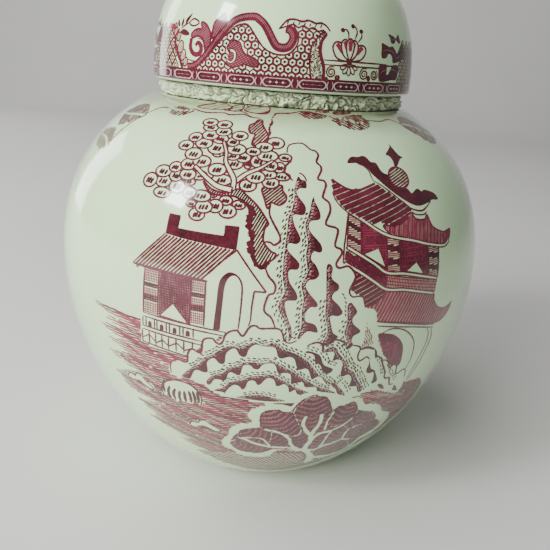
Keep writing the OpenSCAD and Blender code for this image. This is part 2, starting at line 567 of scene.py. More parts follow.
class Sheet:
    """The print on one skin, drawn front to back: a shape that is kept clear hides what is drawn after it."""

    def __init__(self, skin, body, slot, end=""):
        self.skin = skin
        self.body = body
        self.slot = slot
        self.end = end
        self.turn = 0.0
        self.front = []
        self.pieces = {}
        self.name = None

    def piece(self, name):
        self.name = name + self.end
        self.pieces.setdefault(self.name, {"spots": [], "normals": [], "faces": [], "inks": [], "count": 0})

    def clear(self, shape):
        """Hides what is drawn later within a shape."""
        shape = np.asarray(shape, float)
        self.front.append((shape, shape.min(0), shape.max(0)))

    def shown(self, line, within=None):
        """For each point, whether it lies within a shape, if one is given, and nothing in front hides it."""
        show = np.ones(len(line), bool) if within is None else inside(line, within)
        low, high = line.min(0), line.max(0)
        for shape, a, b in self.front:
            if (a < high).all() and (b > low).all():
                show &= ~inside(line, shape)
        return show

    def add(self, spots, normals, faces, ink):
        """Adds faces, which count their own spots from 0, to the current piece."""
        piece = self.pieces[self.name]
        piece["spots"].append(spots)
        piece["normals"].append(normals)
        piece["faces"].extend([tuple(piece["count"] + i for i in f) for f in faces])
        piece["inks"].extend([ink] * len(faces))
        piece["count"] += len(spots)

    def ribbon(self, line, half, ink, stride=1):
        """A strip of ink along a line: half is its reach to each side, and every stride-th point is kept."""
        if stride > 1:
            keep = np.unique(np.r_[np.arange(0, len(line), stride), len(line) - 1])
            line, half = line[keep], half[keep]
        if len(line) < 2:
            return
        lift = (0.055 if ink >= PALE else 0.03) + 0.02 * rng.random()
        spot, out, east, north, grow = self.skin.place(line[:, 0] + self.turn, line[:, 1], lift)
        along = np.gradient(line, axis=0)
        run = east * (along[:, 0] * grow)[:, None] + north * along[:, 1:]
        run /= np.maximum(np.linalg.norm(run, axis=1), 1e-9)[:, None]
        side = np.cross(out, run) * half[:, None]
        count = len(line)
        spots = np.concatenate([spot - side, spot + side])
        faces = [(i, i + 1, count + i + 1, count + i) for i in range(count - 1)]
        self.add(spots, np.concatenate([out, out]), faces, ink)

    def stroke(self, points, width=0.42, ink=LINE, ends=(0.6, 0.6), rounded=True, within=None, rough=0.12,
               step=0.4, stride=1):
        """A line of ink that thins towards its ends, shown where nothing in front hides it."""
        line = smooth(points, step=step) if rounded else even(points, step)
        along = np.linspace(0, 1, len(line))
        half = (width + INK_SPREAD) / 2 * np.interp(along, [0, 0.2, 0.8, 1], [ends[0], 1, 1, ends[1]])
        half = half * (1 + rough * rng.uniform(-1, 1, len(line)))
        for a, b in stretches(self.shown(line, within)):
            if b - a > 1:
                self.ribbon(line[a:b], half[a:b], ink, stride)

    def outline(self, shape, width=0.42, ink=LINE, rough=0.12):
        shape = np.asarray(shape, float)
        self.stroke(np.concatenate([shape, shape[:1]]), width, ink, (1, 1), rounded=False, rough=rough)

    def motif(self, shape, edge, *rules, ground=None, hides=True):
        """A shape with an outline of width edge over ruled lines. Each rule is what hatch takes."""
        if ground is not None:
            self.patch(shape, ground)
        for rule in rules:
            self.hatch(shape, *rule)
        self.outline(shape, edge)
        if hides:
            self.clear(shape)

    def patch(self, shape, ink=DARK):
        """A solid area of ink, cut back where something in front hides it."""
        shape = np.asarray(shape, float)
        low, high = shape.min(0), shape.max(0)
        shape = even(np.concatenate([shape, shape[:1]]), min(0.7, (high - low).max() / 4))[:-1]
        holes = [s for s, a, b in self.front if (a < high).all() and (b > low).all()]
        holes = [even(np.concatenate([s, s[:1]]), 0.8)[:-1] for s in holes]
        points = []
        edges = []
        for ring in [shape, *holes]:
            first = len(points)
            points.extend(ring)
            edges.extend((first + i, first + (i + 1) % len(ring)) for i in range(len(ring)))
        gu, gv = np.meshgrid(np.arange(low[0], high[0], 1.5), np.arange(low[1], high[1], 1.5))
        grid = np.stack([gu.ravel(), gv.ravel()], 1)
        points.extend(grid[inside(grid, shape)])
        found = delaunay_2d_cdt([Vector(p) for p in points], edges, [], 0, 1e-4, False)
        flat = np.array([tuple(p) for p in found[0]])
        tris = np.array([f for f in found[2] if len(f) == 3], int).reshape(-1, 3)
        middle = flat[tris].mean(1)
        show = inside(middle, shape)
        for hole in holes:
            show &= ~inside(middle, hole)
        tris = tris[show]
        if not len(tris):
            return
        used, index = np.unique(tris, return_inverse=True)
        flat, tris = flat[used], index.reshape(-1, 3)
        turn = np.cross(flat[tris[:, 1]] - flat[tris[:, 0]], flat[tris[:, 2]] - flat[tris[:, 0]])
        tris[turn < 0] = tris[turn < 0][:, ::-1]
        spot, out, *_ = self.skin.place(flat[:, 0] + self.turn, flat[:, 1], 0.02 + 0.008 * rng.random())
        self.add(spot, out, [tuple(t) for t in tris], ink)

    def hatch(self, shape, angle, pitch, width, ink=LINE, wave=0.0, wave_length=6.0, skip=0.0, rough=0.15):
        """Ruled lines across a shape, at an angle in degrees."""
        shape = np.asarray(shape, float)
        along = np.array(cos_sin(angle))
        across = np.array([-along[1], along[0]])
        reach, rise = shape @ along, shape @ across
        s = np.arange(reach.min() - 0.2, reach.max() + 0.2, 0.28)
        for h in np.arange(rise.min() + pitch * 0.4, rise.max(), pitch):
            bend = wave * np.sin(s / wave_length * 2 * math.pi + h * 0.7)
            line = s[:, None] * along + (h + bend)[:, None] * across
            if skip and rng.random() < skip:
                cut = rng.integers(2, max(3, len(line)))
                line = line[:cut] if rng.random() < 0.5 else line[cut - 2:]
            if len(line) > 2:
                self.stroke(line, width, ink, (1, 1), rounded=False, within=shape, rough=rough, step=0.28,
                            stride=2 if wave else 4)

    def dashes(self, line, off, pitch, length, slant, width=0.36, ink=LINE, jitter=0.09, within=None):
        """A row of short strokes beside a line, turned slant degrees from straight across it."""
        line = even(smooth(line), pitch)
        row = beside(line, off)
        c, s = cos_sin(slant)
        for spot, (x, y) in zip(row, headings(line)):
            spot = spot + rng.uniform(-jitter, jitter, 2)
            way = np.array([-y * c - x * s, x * c - y * s]) * length / 2
            self.stroke([spot - way, spot + way], width, ink, (0.8, 0.6), rounded=False, within=within,
                        step=length / 2)

    def chevrons(self, shape, foot, pitch, width):
        """Bent stripes across a leaf, their points turned towards the foot of the bush."""
        bend = 0.5
        shape = np.asarray(shape, float)
        mid = shape.mean(0)
        along = (mid - foot) / np.hypot(*(mid - foot))
        across = np.array([-along[1], along[0]])
        reach = (shape - mid) @ along
        half = np.abs((shape - mid) @ across).max() + 0.3
        w = np.linspace(-half, half, 15)
        rise = bend * np.abs(w) ** 1.4 / half**0.4
        for t in np.arange(reach.min() - bend * half, reach.max(), pitch):
            line = mid + (t + rise)[:, None] * along + w[:, None] * across
            self.stroke(line, width, DARK, (1, 1), rounded=False, within=shape, rough=0.3, step=0.35)

    def dots(self, shape, count, size, ink=DARK):
        """Round stipple dots scattered in a shape."""
        shape = np.asarray(shape, float)
        low, high = shape.min(0), shape.max(0)
        spots = rng.uniform(low, high, (count, 2))
        spots = spots[self.shown(spots, shape)]
        for spot in spots:
            r = size / 2 * rng.uniform(0.7, 1.2)
            self.stroke([spot - (r, 0), spot + (r, 0)], 2 * r, ink, (0.6, 0.6), rounded=False, step=r)

    def lay(self):
        """Makes one object of each named piece of the print."""
        for name, piece in self.pieces.items():
            if not piece["faces"]:
                continue
            obj = new_object(name, np.concatenate(piece["spots"]), piece["faces"], INKS, piece["inks"])
            obj.data.normals_split_custom_set_from_vertices(np.concatenate(piece["normals"]))
            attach(obj, self.body)


# ---------------------------------------------------------------- the island scene on the pot
LEAVES = [
    [(1.2, -31), (1.6, -28.6), (3.4, -27.2), (6, -26.8), (8, -27.8), (10.4, -28), (12.2, -32), (14, -36),
     (13.6, -38.4), (11.4, -38.8), (6.6, -36.2), (2, -35), (1.4, -33)],
    [(14, -23.4), (15, -21.8), (17.4, -21.2), (20, -21.8), (21.4, -23.6), (23.2, -28), (22.4, -29.2),
     (20.4, -29), (15.6, -28.2), (14, -30.2), (12.6, -30.6), (11.9, -28), (12.2, -25.4)],
    [(16, -31), (17.4, -29.2), (19.2, -30.4), (19.6, -33), (19, -35.6), (18, -36.8), (16.8, -34.6)],
    [(-5.8, -39.6), (-5, -37.6), (0, -35.8), (2.6, -36.4), (4.2, -38), (4.3, -41), (4, -42.6), (0, -40.6),
     (-4.4, -42), (-5.8, -41.4)],
    [(-3.6, -43), (-1, -41.8), (1.6, -42.2), (3.4, -43.8), (4.4, -45.6), (2, -45.4), (-1, -44.4)],
    [(4.8, -38.4), (6.8, -38.4), (8.6, -39.8), (11.8, -44), (12, -45.6), (9.6, -46), (7, -45.6),
     (5.4, -44.4), (4.8, -42)],
    [(-9, -46.2), (-7, -44.2), (-4.8, -44.6), (1, -46.8), (5.4, -47.2), (4.8, -48.8), (0, -51.4),
     (-6, -49.6), (-7.8, -48)],
    [(13, -38.8), (15.4, -38), (18.6, -41.6), (18.8, -44), (18, -46.4), (15.8, -46.6), (14.2, -45.4),
     (12.6, -41)],
    [(13.6, -32), (14.4, -33.4), (15, -35.6), (16.6, -37.8), (15, -37.4), (14.4, -35)],
    [(21.7, -31), (23, -30), (23.4, -34), (24.6, -36), (26.6, -37.6), (25, -39), (22.6, -38.6),
     (21.4, -36.6), (21.3, -33)],
    [(21, -40), (23, -39.6), (25.4, -40.4), (24.6, -46), (25, -48), (23, -49.4), (19.9, -48), (20.7, -45),
     (20.8, -42)],
    [(24, -29), (26, -26.4), (28, -27), (29.6, -25.6), (31, -26), (33, -30), (32, -32.6), (30.4, -33.4),
     (29.8, -35), (27, -35.8), (25, -35), (24, -32.4)],
    [(27, -37.6), (29, -36.8), (32.8, -40), (32.4, -45.6), (30, -46.6), (27, -46.6), (26.3, -44),
     (26.5, -40.6)],
    [(31.4, -36), (33, -34), (35, -33.6), (37, -31.6), (41.4, -34.4), (41, -36.6), (38, -37.6), (35, -39),
     (32.8, -39.2), (31.6, -37.8)],
    [(34, -42), (36, -40.4), (38.6, -39.4), (40, -40.4), (42, -38.8), (44, -38.6), (47, -40.4), (49, -43),
     (48.6, -45.4), (46, -47.4), (42, -48.4), (38, -47.4), (35.4, -46), (34, -44.4)],
    [(24.4, -52.4), (26.4, -50.4), (32, -48.8), (35, -48.8), (37.4, -50), (40.2, -54.4), (39, -56.6),
     (36, -57), (33, -57.8), (30, -57), (27, -56.6), (25.2, -54.8)],
]


def draw_foliage(sheet):
    """The bush in front of the island: striped leaves, white stems and a white margin."""
    sheet.piece("print_foliage")
    stems = [
        ([(20.4, -29), (20.8, -33), (19.2, -39.6), (19.8, -44), (19, -47), (19.6, -50), (22, -54),
          (26, -63)], (1.1, 3.0)),
        ([(15.4, -29.4), (14.9, -33), (16.4, -36.6), (19, -39.8)], (1.0, 1.5)),
        ([(2.4, -36), (6.6, -37.2), (9.6, -39), (11.8, -42), (12.8, -45), (15, -47.8), (19, -50.4)],
         (0.8, 1.8)),
        ([(-6, -42), (-3.4, -42.9), (-1, -44.5), (5, -46.5), (13, -47.6), (18, -50)], (0.8, 1.8)),
        ([(-5, -41.8), (0, -41.2), (2.6, -42.2), (4.4, -45), (5.4, -46.6)], (0.5, 0.9)),
        ([(20, -50.8), (24, -50.4), (26, -48.8), (30, -47.6), (34, -46.4), (38, -48)], (1.8, 0.8)),
        ([(19.6, -46), (20.4, -42), (22.6, -39.4), (26.2, -38.6), (30, -36.6), (33, -33.4)], (1.5, 0.6)),
        ([(24.8, -50), (25.6, -46), (25.8, -42), (27, -38)], (1.2, 0.7)),
        ([(23.6, -37.6), (23.4, -33), (24.6, -28.4)], (0.9, 0.5)),
        ([(33.6, -46.4), (33.4, -42), (34.6, -39.6), (39, -38.6)], (1.0, 0.6)),
    ]
    for line, width in stems:
        sheet.clear(band_shape(line, width))
    sheet.stroke([(15, -49.2), (18, -51.2), (20.4, -54), (21.8, -57), (22.4, -62)], 0.7)
    foot = np.array([21.0, -54.0])
    thicket = loop([(-7.4, -45.6), (-4.4, -39), (2, -35.4), (1.6, -31), (4, -27.5), (10, -28.4), (13, -24),
                    (17, -21.6), (21.5, -24), (24, -28), (30, -26.2), (33, -30.5), (39, -33), (42, -36),
                    (43.5, -39), (48, -42), (47.5, -46), (42, -48), (40, -53.5), (36, -56.4), (27, -56),
                    (23, -52.6), (19.5, -50.4), (13, -47.9), (6, -48), (0, -50.6), (-5, -49.6)])
    for shape in LEAVES + [thicket]:
        leaf = loop(shape, 0.6)
        leaf = swollen(leaf, 1.07)
        sheet.patch(leaf, PALE)
        sheet.chevrons(leaf, foot, 2.1, 1.0)
        sheet.hatch(leaf, 58, 0.8, 0.08, LINE, 0.2, 5, rough=0.4)
        sheet.outline(leaf, 0.35, rough=0.6)
        sheet.clear(swollen(leaf, 1.08))
    margin = loop([(-1.6, -33), (-3, -30), (-2.6, -27.8), (-1, -26), (2, -24.6), (6, -24.2), (10, -25),
                   (12, -20.6), (14, -19.2), (20, -19.6), (22.6, -21.4), (25, -22.6), (29, -23),
                   (33, -24.4), (35.6, -27.6), (39, -28.4), (43, -30.6), (46, -34.4), (51, -37),
                   (54, -42), (54, -47), (50, -51), (45, -52), (43, -56), (38, -60), (31, -61), (27, -60),
                   (24.6, -64), (22.6, -62), (21.6, -57), (18, -51), (12, -49), (8, -49.8), (6.4, -51.6),
                   (5.4, -54), (2, -55), (-3, -55), (-7, -53.6), (-8.6, -51.4), (-11.6, -50),
                   (-12.8, -47.6), (-12.6, -45), (-11, -42.8), (-9, -41), (-9.4, -38.4), (-8, -36),
                   (-5, -33.8)])
    sheet.clear(margin)


RIDGES = [
    ([(-23.6, -17.6), (-20, -13.4), (-18, -12), (-16, -9), (-14, -8), (-10.4, -4.8), (-8, -4.1),
      (-6, -4.4), (-2.6, -2.3), (0, -3.1), (3, -2), (5, -3.6), (10, -5.8), (13, -8), (16.2, -12.2),
      (18.4, -13.8), (20, -15.4), (22.6, -16.6), (26.4, -21.4)],
     [(25, -21.2), (23.6, -20.4), (22.6, -18.4), (21.6, -17.6), (20.6, -16.3), (19.4, -16.3),
      (17.4, -13.6), (16.2, -13.2), (14.6, -14), (13.2, -10.8), (12.2, -10.2), (10.2, -10.6), (9, -7.4),
      (8.2, -6.5), (7, -6.4), (5.2, -7), (4.2, -6.3), (3.6, -4.2), (2.8, -3.4), (0, -3.4), (-2, -3),
      (-3.7, -4.6), (-4.4, -7), (-5.4, -7.3), (-6.3, -6.8), (-7.2, -5.1), (-8.2, -5), (-9.9, -6.8),
      (-10.3, -10), (-11.3, -10.6), (-12.3, -10.1), (-12.8, -9.3), (-13.8, -9), (-15.4, -10.8),
      (-15.2, -13.8), (-16.2, -14.5), (-18.6, -14.1), (-19.6, -15), (-20.8, -17.8), (-22, -18)]),
    ([(-15.8, -17.6), (-14, -15.2), (-11, -13.6), (-9, -11.4), (-6.6, -10.6), (-5, -9), (-0.6, -8.7),
      (2.4, -8.3), (3.2, -7.9), (5, -9.2), (8, -10.8), (17, -17), (20, -18.2), (23.2, -20.2)],
     [(22, -20), (19, -19.3), (17.6, -19.3), (16.7, -18.6), (16.6, -17.6), (15.8, -17), (13.4, -17.1),
      (12.7, -16.6), (12, -15), (9.4, -15.6), (8.7, -15), (8.2, -12.2), (6.2, -11.8), (5.4, -12.2),
      (4.6, -11.8), (3.8, -9.4), (2.8, -8.7), (0.4, -9.2), (-0.8, -11), (-2.4, -10.8), (-2.8, -10),
      (-5, -10.1), (-6, -13.7), (-8.4, -12.9), (-9.3, -13.6), (-9.8, -15.8), (-10.6, -16.3),
      (-13.2, -16.3), (-14.5, -18.4), (-15.4, -18.9)]),
    ([(-13.8, -20.6), (-10.4, -18.6), (-9, -16.6), (-5, -15), (-3, -13.7), (1, -13), (3, -12.6),
      (7.4, -15), (9.6, -16.6), (17.6, -20.9)],
     [(16, -21.6), (14, -21), (13.2, -20.3), (11, -19.6), (10.2, -17.9), (8.6, -19), (8.1, -17),
      (6.8, -15.8), (5.2, -16.7), (4.4, -16.4), (3.8, -14.4), (1.8, -13.9), (-0.1, -16.5), (-0.9, -16.5),
      (-1.8, -15.1), (-3.5, -15.6), (-4.2, -18), (-4.9, -18.8), (-5.6, -18.6), (-6, -17.7), (-7.8, -17.5),
      (-10, -20.4), (-10.4, -22.2), (-10.5, -20.9), (-12, -20.8)]),
    ([(-7, -22.2), (-4, -21.1), (-1, -20.4), (0.6, -20.3), (4, -21.2), (7.8, -22.3)],
     [(6, -22.7), (3, -22.8), (0, -22.7), (-4, -22.4)]),
    ([(4, -23.4), (8, -23.3), (11.2, -23.4)],
     [(10.8, -24.3), (10.3, -24.9), (9, -24.5), (7, -23.9), (5, -23.8)]),
]


def draw_ridges(sheet):
    """Nested ridges of the rock: dark bands with round white lumps under them, and dashes along the top."""
    sheet.piece("print_ridges")
    for k, (top, low) in enumerate(RIDGES):
        band = loop(top + low, 0.4)
        sheet.patch(band)
        for row in range(2 if k < 4 else 0):
            sheet.dashes(top, -0.25 - 0.55 * row, 0.9, 0.75, 62, 0.07 if row else 0.12,
                         BLUSH if row < 1 else PALE, jitter=0.18, within=band)
        for row in range(2 if k < 4 else 0):
            sheet.dashes(top[1:-1], 0.5 + 0.75 * row, 1.15 + 0.25 * row, 0.9, 78, 0.4, DARK, jitter=0.15)


SIDE_ROCKS = [
    [(16.4, -5.1), (17, -4.3), (19, -3.2), (20.8, -4.2), (21.2, -5.4), (23, -7.4), (24.6, -9.8),
     (25.2, -11.2), (27.4, -12.8), (29, -15.6), (30.8, -18), (32, -20.6), (31.2, -21.2), (30.4, -20.6),
     (29.4, -18.4), (27.6, -18.2), (26.9, -17.6), (27, -15), (25.6, -13.3), (24, -13.9), (23.1, -13.2),
     (22.9, -8.6), (21, -7.6), (20.4, -8), (19.8, -7.8), (20.1, -5.8), (19.6, -4.9), (17.6, -5)],
    [(11.6, -4.7), (12.6, -4.4), (15.8, -5.8), (17, -8.4), (17.8, -9.4), (20.5, -10.9), (19.2, -12.4),
     (17.4, -11.4), (16.4, -9.2), (14.8, -8.3), (14.4, -6.2), (13.4, -5.3), (11.6, -5)],
    [(31.4, -8.6), (33, -12.4), (34.4, -13.2), (36.6, -17.6), (34.6, -18.4), (34.8, -16.6), (34.2, -13.9),
     (32.6, -14.1), (31.6, -13.4), (31.4, -12), (31.8, -10.6)],
    [(32.6, -5.4), (33.6, -6.4), (34, -7.8), (35, -8.2), (34, -8.6), (33.2, -8.3), (33, -7)],
    [(37.4, -19.4), (38.6, -19.4), (40.2, -20.8), (41, -22.2), (39.6, -21.8), (38, -20.4)],
    [(45.2, -21.8), (46.4, -22.8), (48.2, -25.4), (46.4, -24.6), (45.3, -24.2)],
    [(23, -3.8), (23.8, -3.2), (24.4, -2.2), (25.2, -2.8), (24.8, -4), (23.6, -4.5)],
]


def draw_side_rocks(sheet):
    """Smaller dark scallops, outlines and dashes on the right of the rock, down to the water."""
    sheet.piece("print_side_rocks")
    for shape in SIDE_ROCKS:
        sheet.patch(loop(shape, 0.4))
    for line, width in (
        ([(12.2, -2.6), (13, -2.2), (14.4, -1.8), (15.6, -2), (16.4, -2.8), (16.5, -4.4), (17, -5.1)], 0.5),
        ([(17.4, -2.8), (18.6, -2), (19.6, -1.2), (21, -1.4), (22.6, -2.2), (23.6, -2.6)], 0.5),
        ([(25, -3.2), (27.4, -4), (27.8, -5), (27.4, -6.6), (27.7, -8.2), (28.6, -8.8), (30.4, -7.8),
          (31.6, -8.8)], 0.45),
        ([(28, -5), (29.6, -4.6), (31, -4.8), (32.6, -5.6)], 0.7),
        ([(34.6, -8.3), (36, -9.4), (36.8, -11.4), (38.8, -15), (39, -16.6), (40, -17.6), (41.4, -17.8),
          (42.6, -20.8), (44.2, -21)], 0.55),
        ([(36.4, -10), (38, -10.4), (39.4, -12), (40, -13.6), (41.6, -12.7), (43, -13.8), (43.4, -16),
          (44.2, -17), (46.4, -16), (47.6, -16.4), (48.4, -18), (48.6, -19.6)], 0.45),
    ):
        sheet.stroke(line, width)
    top = [(17, -4.3), (19, -3), (21, -4.2), (25, -10.4), (27.4, -12.6), (32, -20)]
    for row in range(3):
        sheet.dashes(top, 0.4 + 0.8 * row, 1.2, 0.95, 78, 0.42 - 0.05 * row, DARK, jitter=0.2)
    for row in range(2):
        sheet.dashes(top, -0.4 - 0.65 * row, 0.95, 0.75, 60, 0.08, BLUSH, jitter=0.2,
                     within=loop(SIDE_ROCKS[0]))
    for line in (
        [(12, -4.2), (14.6, -5), (16.4, -6.4), (18.4, -9.2), (20.4, -10)],
        [(33, -9), (35.4, -12), (36.4, -15)],
        [(22, -14.6), (24, -16.6), (26.4, -20)], [(38.4, -12.6), (40.4, -16), (43, -19)],
    ):
        for row in range(2):
            sheet.dashes(line, 0.6 + 0.8 * row, 1.2, 0.9, 76, 0.36, DARK, jitter=0.2)
    shade = [(28.2, 4), (30.4, 0), (31.8, -3.6), (29, -4.6), (28, -4.2), (28.6, 0)]
    sheet.hatch(shade, 112, 0.62, 0.2, MID, 0.2, 3, rough=0.4)


ROCK_FACES = [
    ([(6.6, -1.4), (6.6, 0.6), (5.6, 4), (3.4, 7.4), (3.4, 9.6), (4.6, 12.6), (3.8, 17.4), (4, 24),
      (4.4, 28), (4.6, 32), (5.4, 33.6), (6.2, 38), (6, 39.4), (7.2, 43.4)],
     [(8.2, 42.4), (9.6, 42.2), (9.8, 40.1), (7.8, 40), (6.9, 38.4), (9.4, 35.2), (9.3, 33.2),
      (8.4, 32.7), (6.2, 32.8), (5.8, 32), (6.6, 29.6), (8, 27.2), (8.2, 26), (7, 25.1), (5, 25.3),
      (4.9, 23.4), (8, 20.4), (7.8, 18.6), (6, 18.5), (5.3, 17.9), (5.8, 15.2), (7.8, 12.4), (8, 10.4),
      (5, 9.8), (5.9, 5.6), (7.2, 2.4), (7.4, -1)]),
    ([(9, -0.6), (9.8, 3), (9.6, 7), (9.8, 11), (9, 14.6), (10.2, 17), (10.4, 18.6), (9.8, 22.6),
      (10.2, 25.6), (9.4, 30), (10.4, 33), (11.5, 37.2)],
     [(12.1, 38), (12.2, 36.6), (13.6, 34), (13.6, 31.8), (10.8, 31.1), (10.7, 28.8), (13.8, 25.4),
      (14.2, 23.4), (13.2, 23.1), (12, 23.5), (11.2, 22), (11.6, 20.8), (12.6, 19.9), (13.7, 17.4),
      (12.4, 16), (11.2, 16), (10.1, 14.4), (11.4, 12.2), (13.4, 10), (13.8, 9), (13.2, 8.4), (12, 8.6),
      (10.7, 7), (10.8, 4.6), (13.4, 3.6), (14.5, 1.6), (14.1, 1.1), (12.2, 1.6), (11, 1.2), (9.6, -0.8)]),
    ([(16.2, -1.6), (17.2, 1.2), (16.1, 6.4), (16, 10), (15.6, 19.2)],
     [(16.4, 20.2), (17.4, 19.2), (17.1, 17.2), (17.5, 16), (19.3, 14.6), (19.2, 13.1), (18.2, 12.6),
      (17.6, 11), (19.6, 9), (21, 6.8), (19.8, 5.8), (18, 6.1), (17.4, 5.5), (18.1, 3.2), (18.8, 1),
      (20.6, -0.4), (19, -1.2), (18.2, -2.4), (17.2, -3), (16.2, -2.4)]),
    ([(23.6, -2.6), (22.2, 0.4), (22.2, 2), (22.6, 3.8), (22.2, 8.2)],
     [(22.5, 9.2), (23.2, 9.6), (25.3, 6.8), (24.2, 5.2), (24.4, 3.4), (27, 0.8), (24.8, -0.6),
      (24.6, -3)]),
]


def draw_rocks(sheet):
    """The tall rocks: a wavy outline, and dark hooked faces that break up into dashes on their left."""
    sheet.piece("print_rocks")
    for left, right in ROCK_FACES:
        shape = loop(left + right, 0.4)
        sheet.patch(shape)
        for row in range(4):
            sheet.dashes(left, -0.1 - 0.52 * row, 0.8, 0.75, 50, 0.13 - 0.02 * row,
                         BLUSH if row < 2 else PALE, jitter=0.18, within=shape)
        sheet.clear(shape)
    for left, right in ROCK_FACES:
        for row in range(2):
            sheet.dashes(left[:-1], 0.6 + 0.8 * row, 1.2 + 0.5 * row, 0.9, 62, 0.42 - 0.04 * row, DARK,
                         jitter=0.18)
    sheet.dashes([(20.6, 12), (21.6, 9.6), (21.8, 6)], 0, 1.1, 0.9, 110, 0.34)
    sheet.stroke([(7.4, 44.4), (8.6, 44), (9.5, 43), (9.9, 42)], 0.3)
    contours = [
        [(3.6, 50.5), (3.7, 52), (4.8, 53.4), (9, 54), (12, 52), (13.6, 51.6), (14.5, 50.2), (13.6, 48),
         (14.8, 46.8), (14.9, 45.4), (13.6, 43.2), (14, 42.6), (15.4, 42.4), (16, 41.2), (15, 38.8),
         (14.8, 37.6), (16.4, 36.4), (16.8, 35), (16.6, 33.6), (15.3, 31), (15.8, 30.2), (18.2, 29.6),
         (18.8, 28.6), (17.9, 25), (19.6, 24), (19.8, 22.8), (18.4, 20.6), (18.4, 19.6), (19.4, 19.1),
         (22, 19.4), (24, 16.8), (22.6, 13.4), (22.6, 12), (23.6, 11.1), (25.4, 11.2), (26.8, 10.6),
         (27.6, 7.8)],
        [(-1, 18.8), (0.2, 16.4), (1.6, 15), (2.2, 13.6), (1.8, 12), (0.4, 11.2), (-0.4, 7.2), (1.6, 5.2),
         (2.9, 2.3)],
        [(5.2, 48), (3.2, 46.2), (3, 44.4), (5.6, 42)],
        [(-27, -17.4), (-27, -14.6), (-26, -12.6), (-24, -11.9), (-22.4, -12.2), (-21.3, -11.6),
         (-21.2, -9.4), (-20.4, -7.6), (-19.4, -7.2), (-18, -7.9), (-17, -7.4), (-16.4, -3.6),
         (-14, -2.7), (-12.8, -3.8), (-11.8, -4.1), (-10.9, -3), (-10.5, -1.4), (-9.6, -0.2), (-8, 0.6),
         (-7, 0.5), (-5.6, -0.8), (-4.2, 1.6), (-3.2, 2.5), (-2, 2.5), (-1, 1.9), (4, 2), (5.5, -1),
         (6.4, -1.9), (7.6, -1.9), (8.9, -1.2)],
    ]
    for line in contours:
        sheet.stroke(line, 0.52)
    rock = loop([(8.2, 45), (11, 46), (13.6, 48), (15, 46.8), (14.4, 43.6), (16, 41), (14.8, 37.6),
                 (16.8, 34.8), (15.6, 31.2), (18.6, 29.6), (18, 25.6), (19.8, 22.6), (18.6, 20.4),
                 (22, 19.6), (23.8, 17), (22.8, 13), (26, 11), (27.4, 8), (31, 6.4), (32, 2), (33.6, -4),
                 (40, -12.6), (44, -15.6), (48.4, -18), (49.5, -22), (48.6, -26), (45, -25), (37, -21.6),
                 (33.4, -22), (26, -22.8), (16, -24), (10.4, -25.2), (6, -24.2), (-7, -22.6),
                 (-10.4, -22.5), (-14, -21.2), (-16, -19.4), (-21, -18.4), (-27, -18), (-27, -14.6),
                 (-24, -12), (-21.2, -11.6), (-20, -7.6), (-17, -7.9), (-16, -3.4), (-12, -3.8),
                 (-10, -0.3), (-6.6, -0.2), (-3.8, 2.2), (2, 2), (2.4, 3.4), (-0.8, 8), (0.4, 11.2),
                 (2.2, 13.4), (-1, 18.4), (2.4, 22), (4, 28), (5.4, 42)], 0.8)
    sheet.clear(rock)


APPLES = [
    (-28.5, 59, 3.4, 1.6), (-22, 58.7, 3.2, 1.7), (-27, 57, 3.2, 1.5), (-21, 56, 3.2, 1.7),
    (-14.2, 55, 3.1, 1.7), (-25.5, 54.2, 3.4, 1.8), (-31, 52.8, 2.7, 1.7), (-21, 53.2, 3, 1.7),
    (-16, 52.6, 2.3, 1.6), (-26.5, 51, 3.3, 1.7), (-33, 49.6, 2.9, 1.7), (-28.6, 47.2, 3.2, 1.9),
    (-21, 50, 3.4, 2.1), (-20, 48.2, 2, 1.1), (-14, 50.2, 3.4, 1.8), (-8, 50, 2.6, 1.4),
    (-4.5, 51.8, 3.2, 1.7), (-0.6, 53.5, 3.2, 2), (-14.6, 48, 2.4, 1.4), (-11, 47.8, 2.6, 1.6),
    (-3, 49, 3.6, 1.8), (-5.8, 47, 2.6, 2), (3, 48.8, 2.2, 1.2), (-13.4, 45.6, 2.8, 1.7),
    (-9, 46, 1.3, 1.6), (-1.7, 46, 2.4, 1.7), (1.2, 45.6, 2, 1.6), (-24.6, 45.2, 3.2, 1.8),
    (-18.6, 43.3, 3, 1.9), (-28.8, 43.8, 2.8, 1.8), (-33, 42.4, 2.3, 1.6), (-36.8, 40.6, 3, 1.8),
    (-27.8, 40.8, 2.8, 1.7), (-31.6, 39.9, 2.4, 1.7), (-24, 41, 2.8, 1.4), (-16.3, 40.5, 3.2, 1.6),
    (-14.4, 41.4, 2.2, 1.6), (-6, 42.3, 3, 1.8), (-2.4, 43.3, 3, 1.3), (2.2, 43, 2.6, 1.2),
    (-1.2, 41, 2.6, 1.6), (-8, 39.7, 2.6, 1.7), (-40.4, 37.4, 2.6, 2.1), (-35.4, 37.8, 2.8, 1.8),
    (-34.6, 34.6, 3, 1.5), (-30, 37, 2.8, 2), (-27, 38.8, 2.6, 1.2), (-25.4, 35.8, 2.2, 1.6),
    (-21.4, 35.4, 3, 1.6), (-18, 36.3, 1.6, 0.9), (-20, 32.6, 2.6, 1.7), (-16.6, 33.2, 2.3, 1.8),
    (-13.8, 35, 2, 1.3), (-12.8, 32.2, 2.6, 1.8), (-9.8, 34.2, 2, 1.2), (-21.6, 30.4, 2.4, 1.7),
    (-24, 33, 1.6, 1),
]


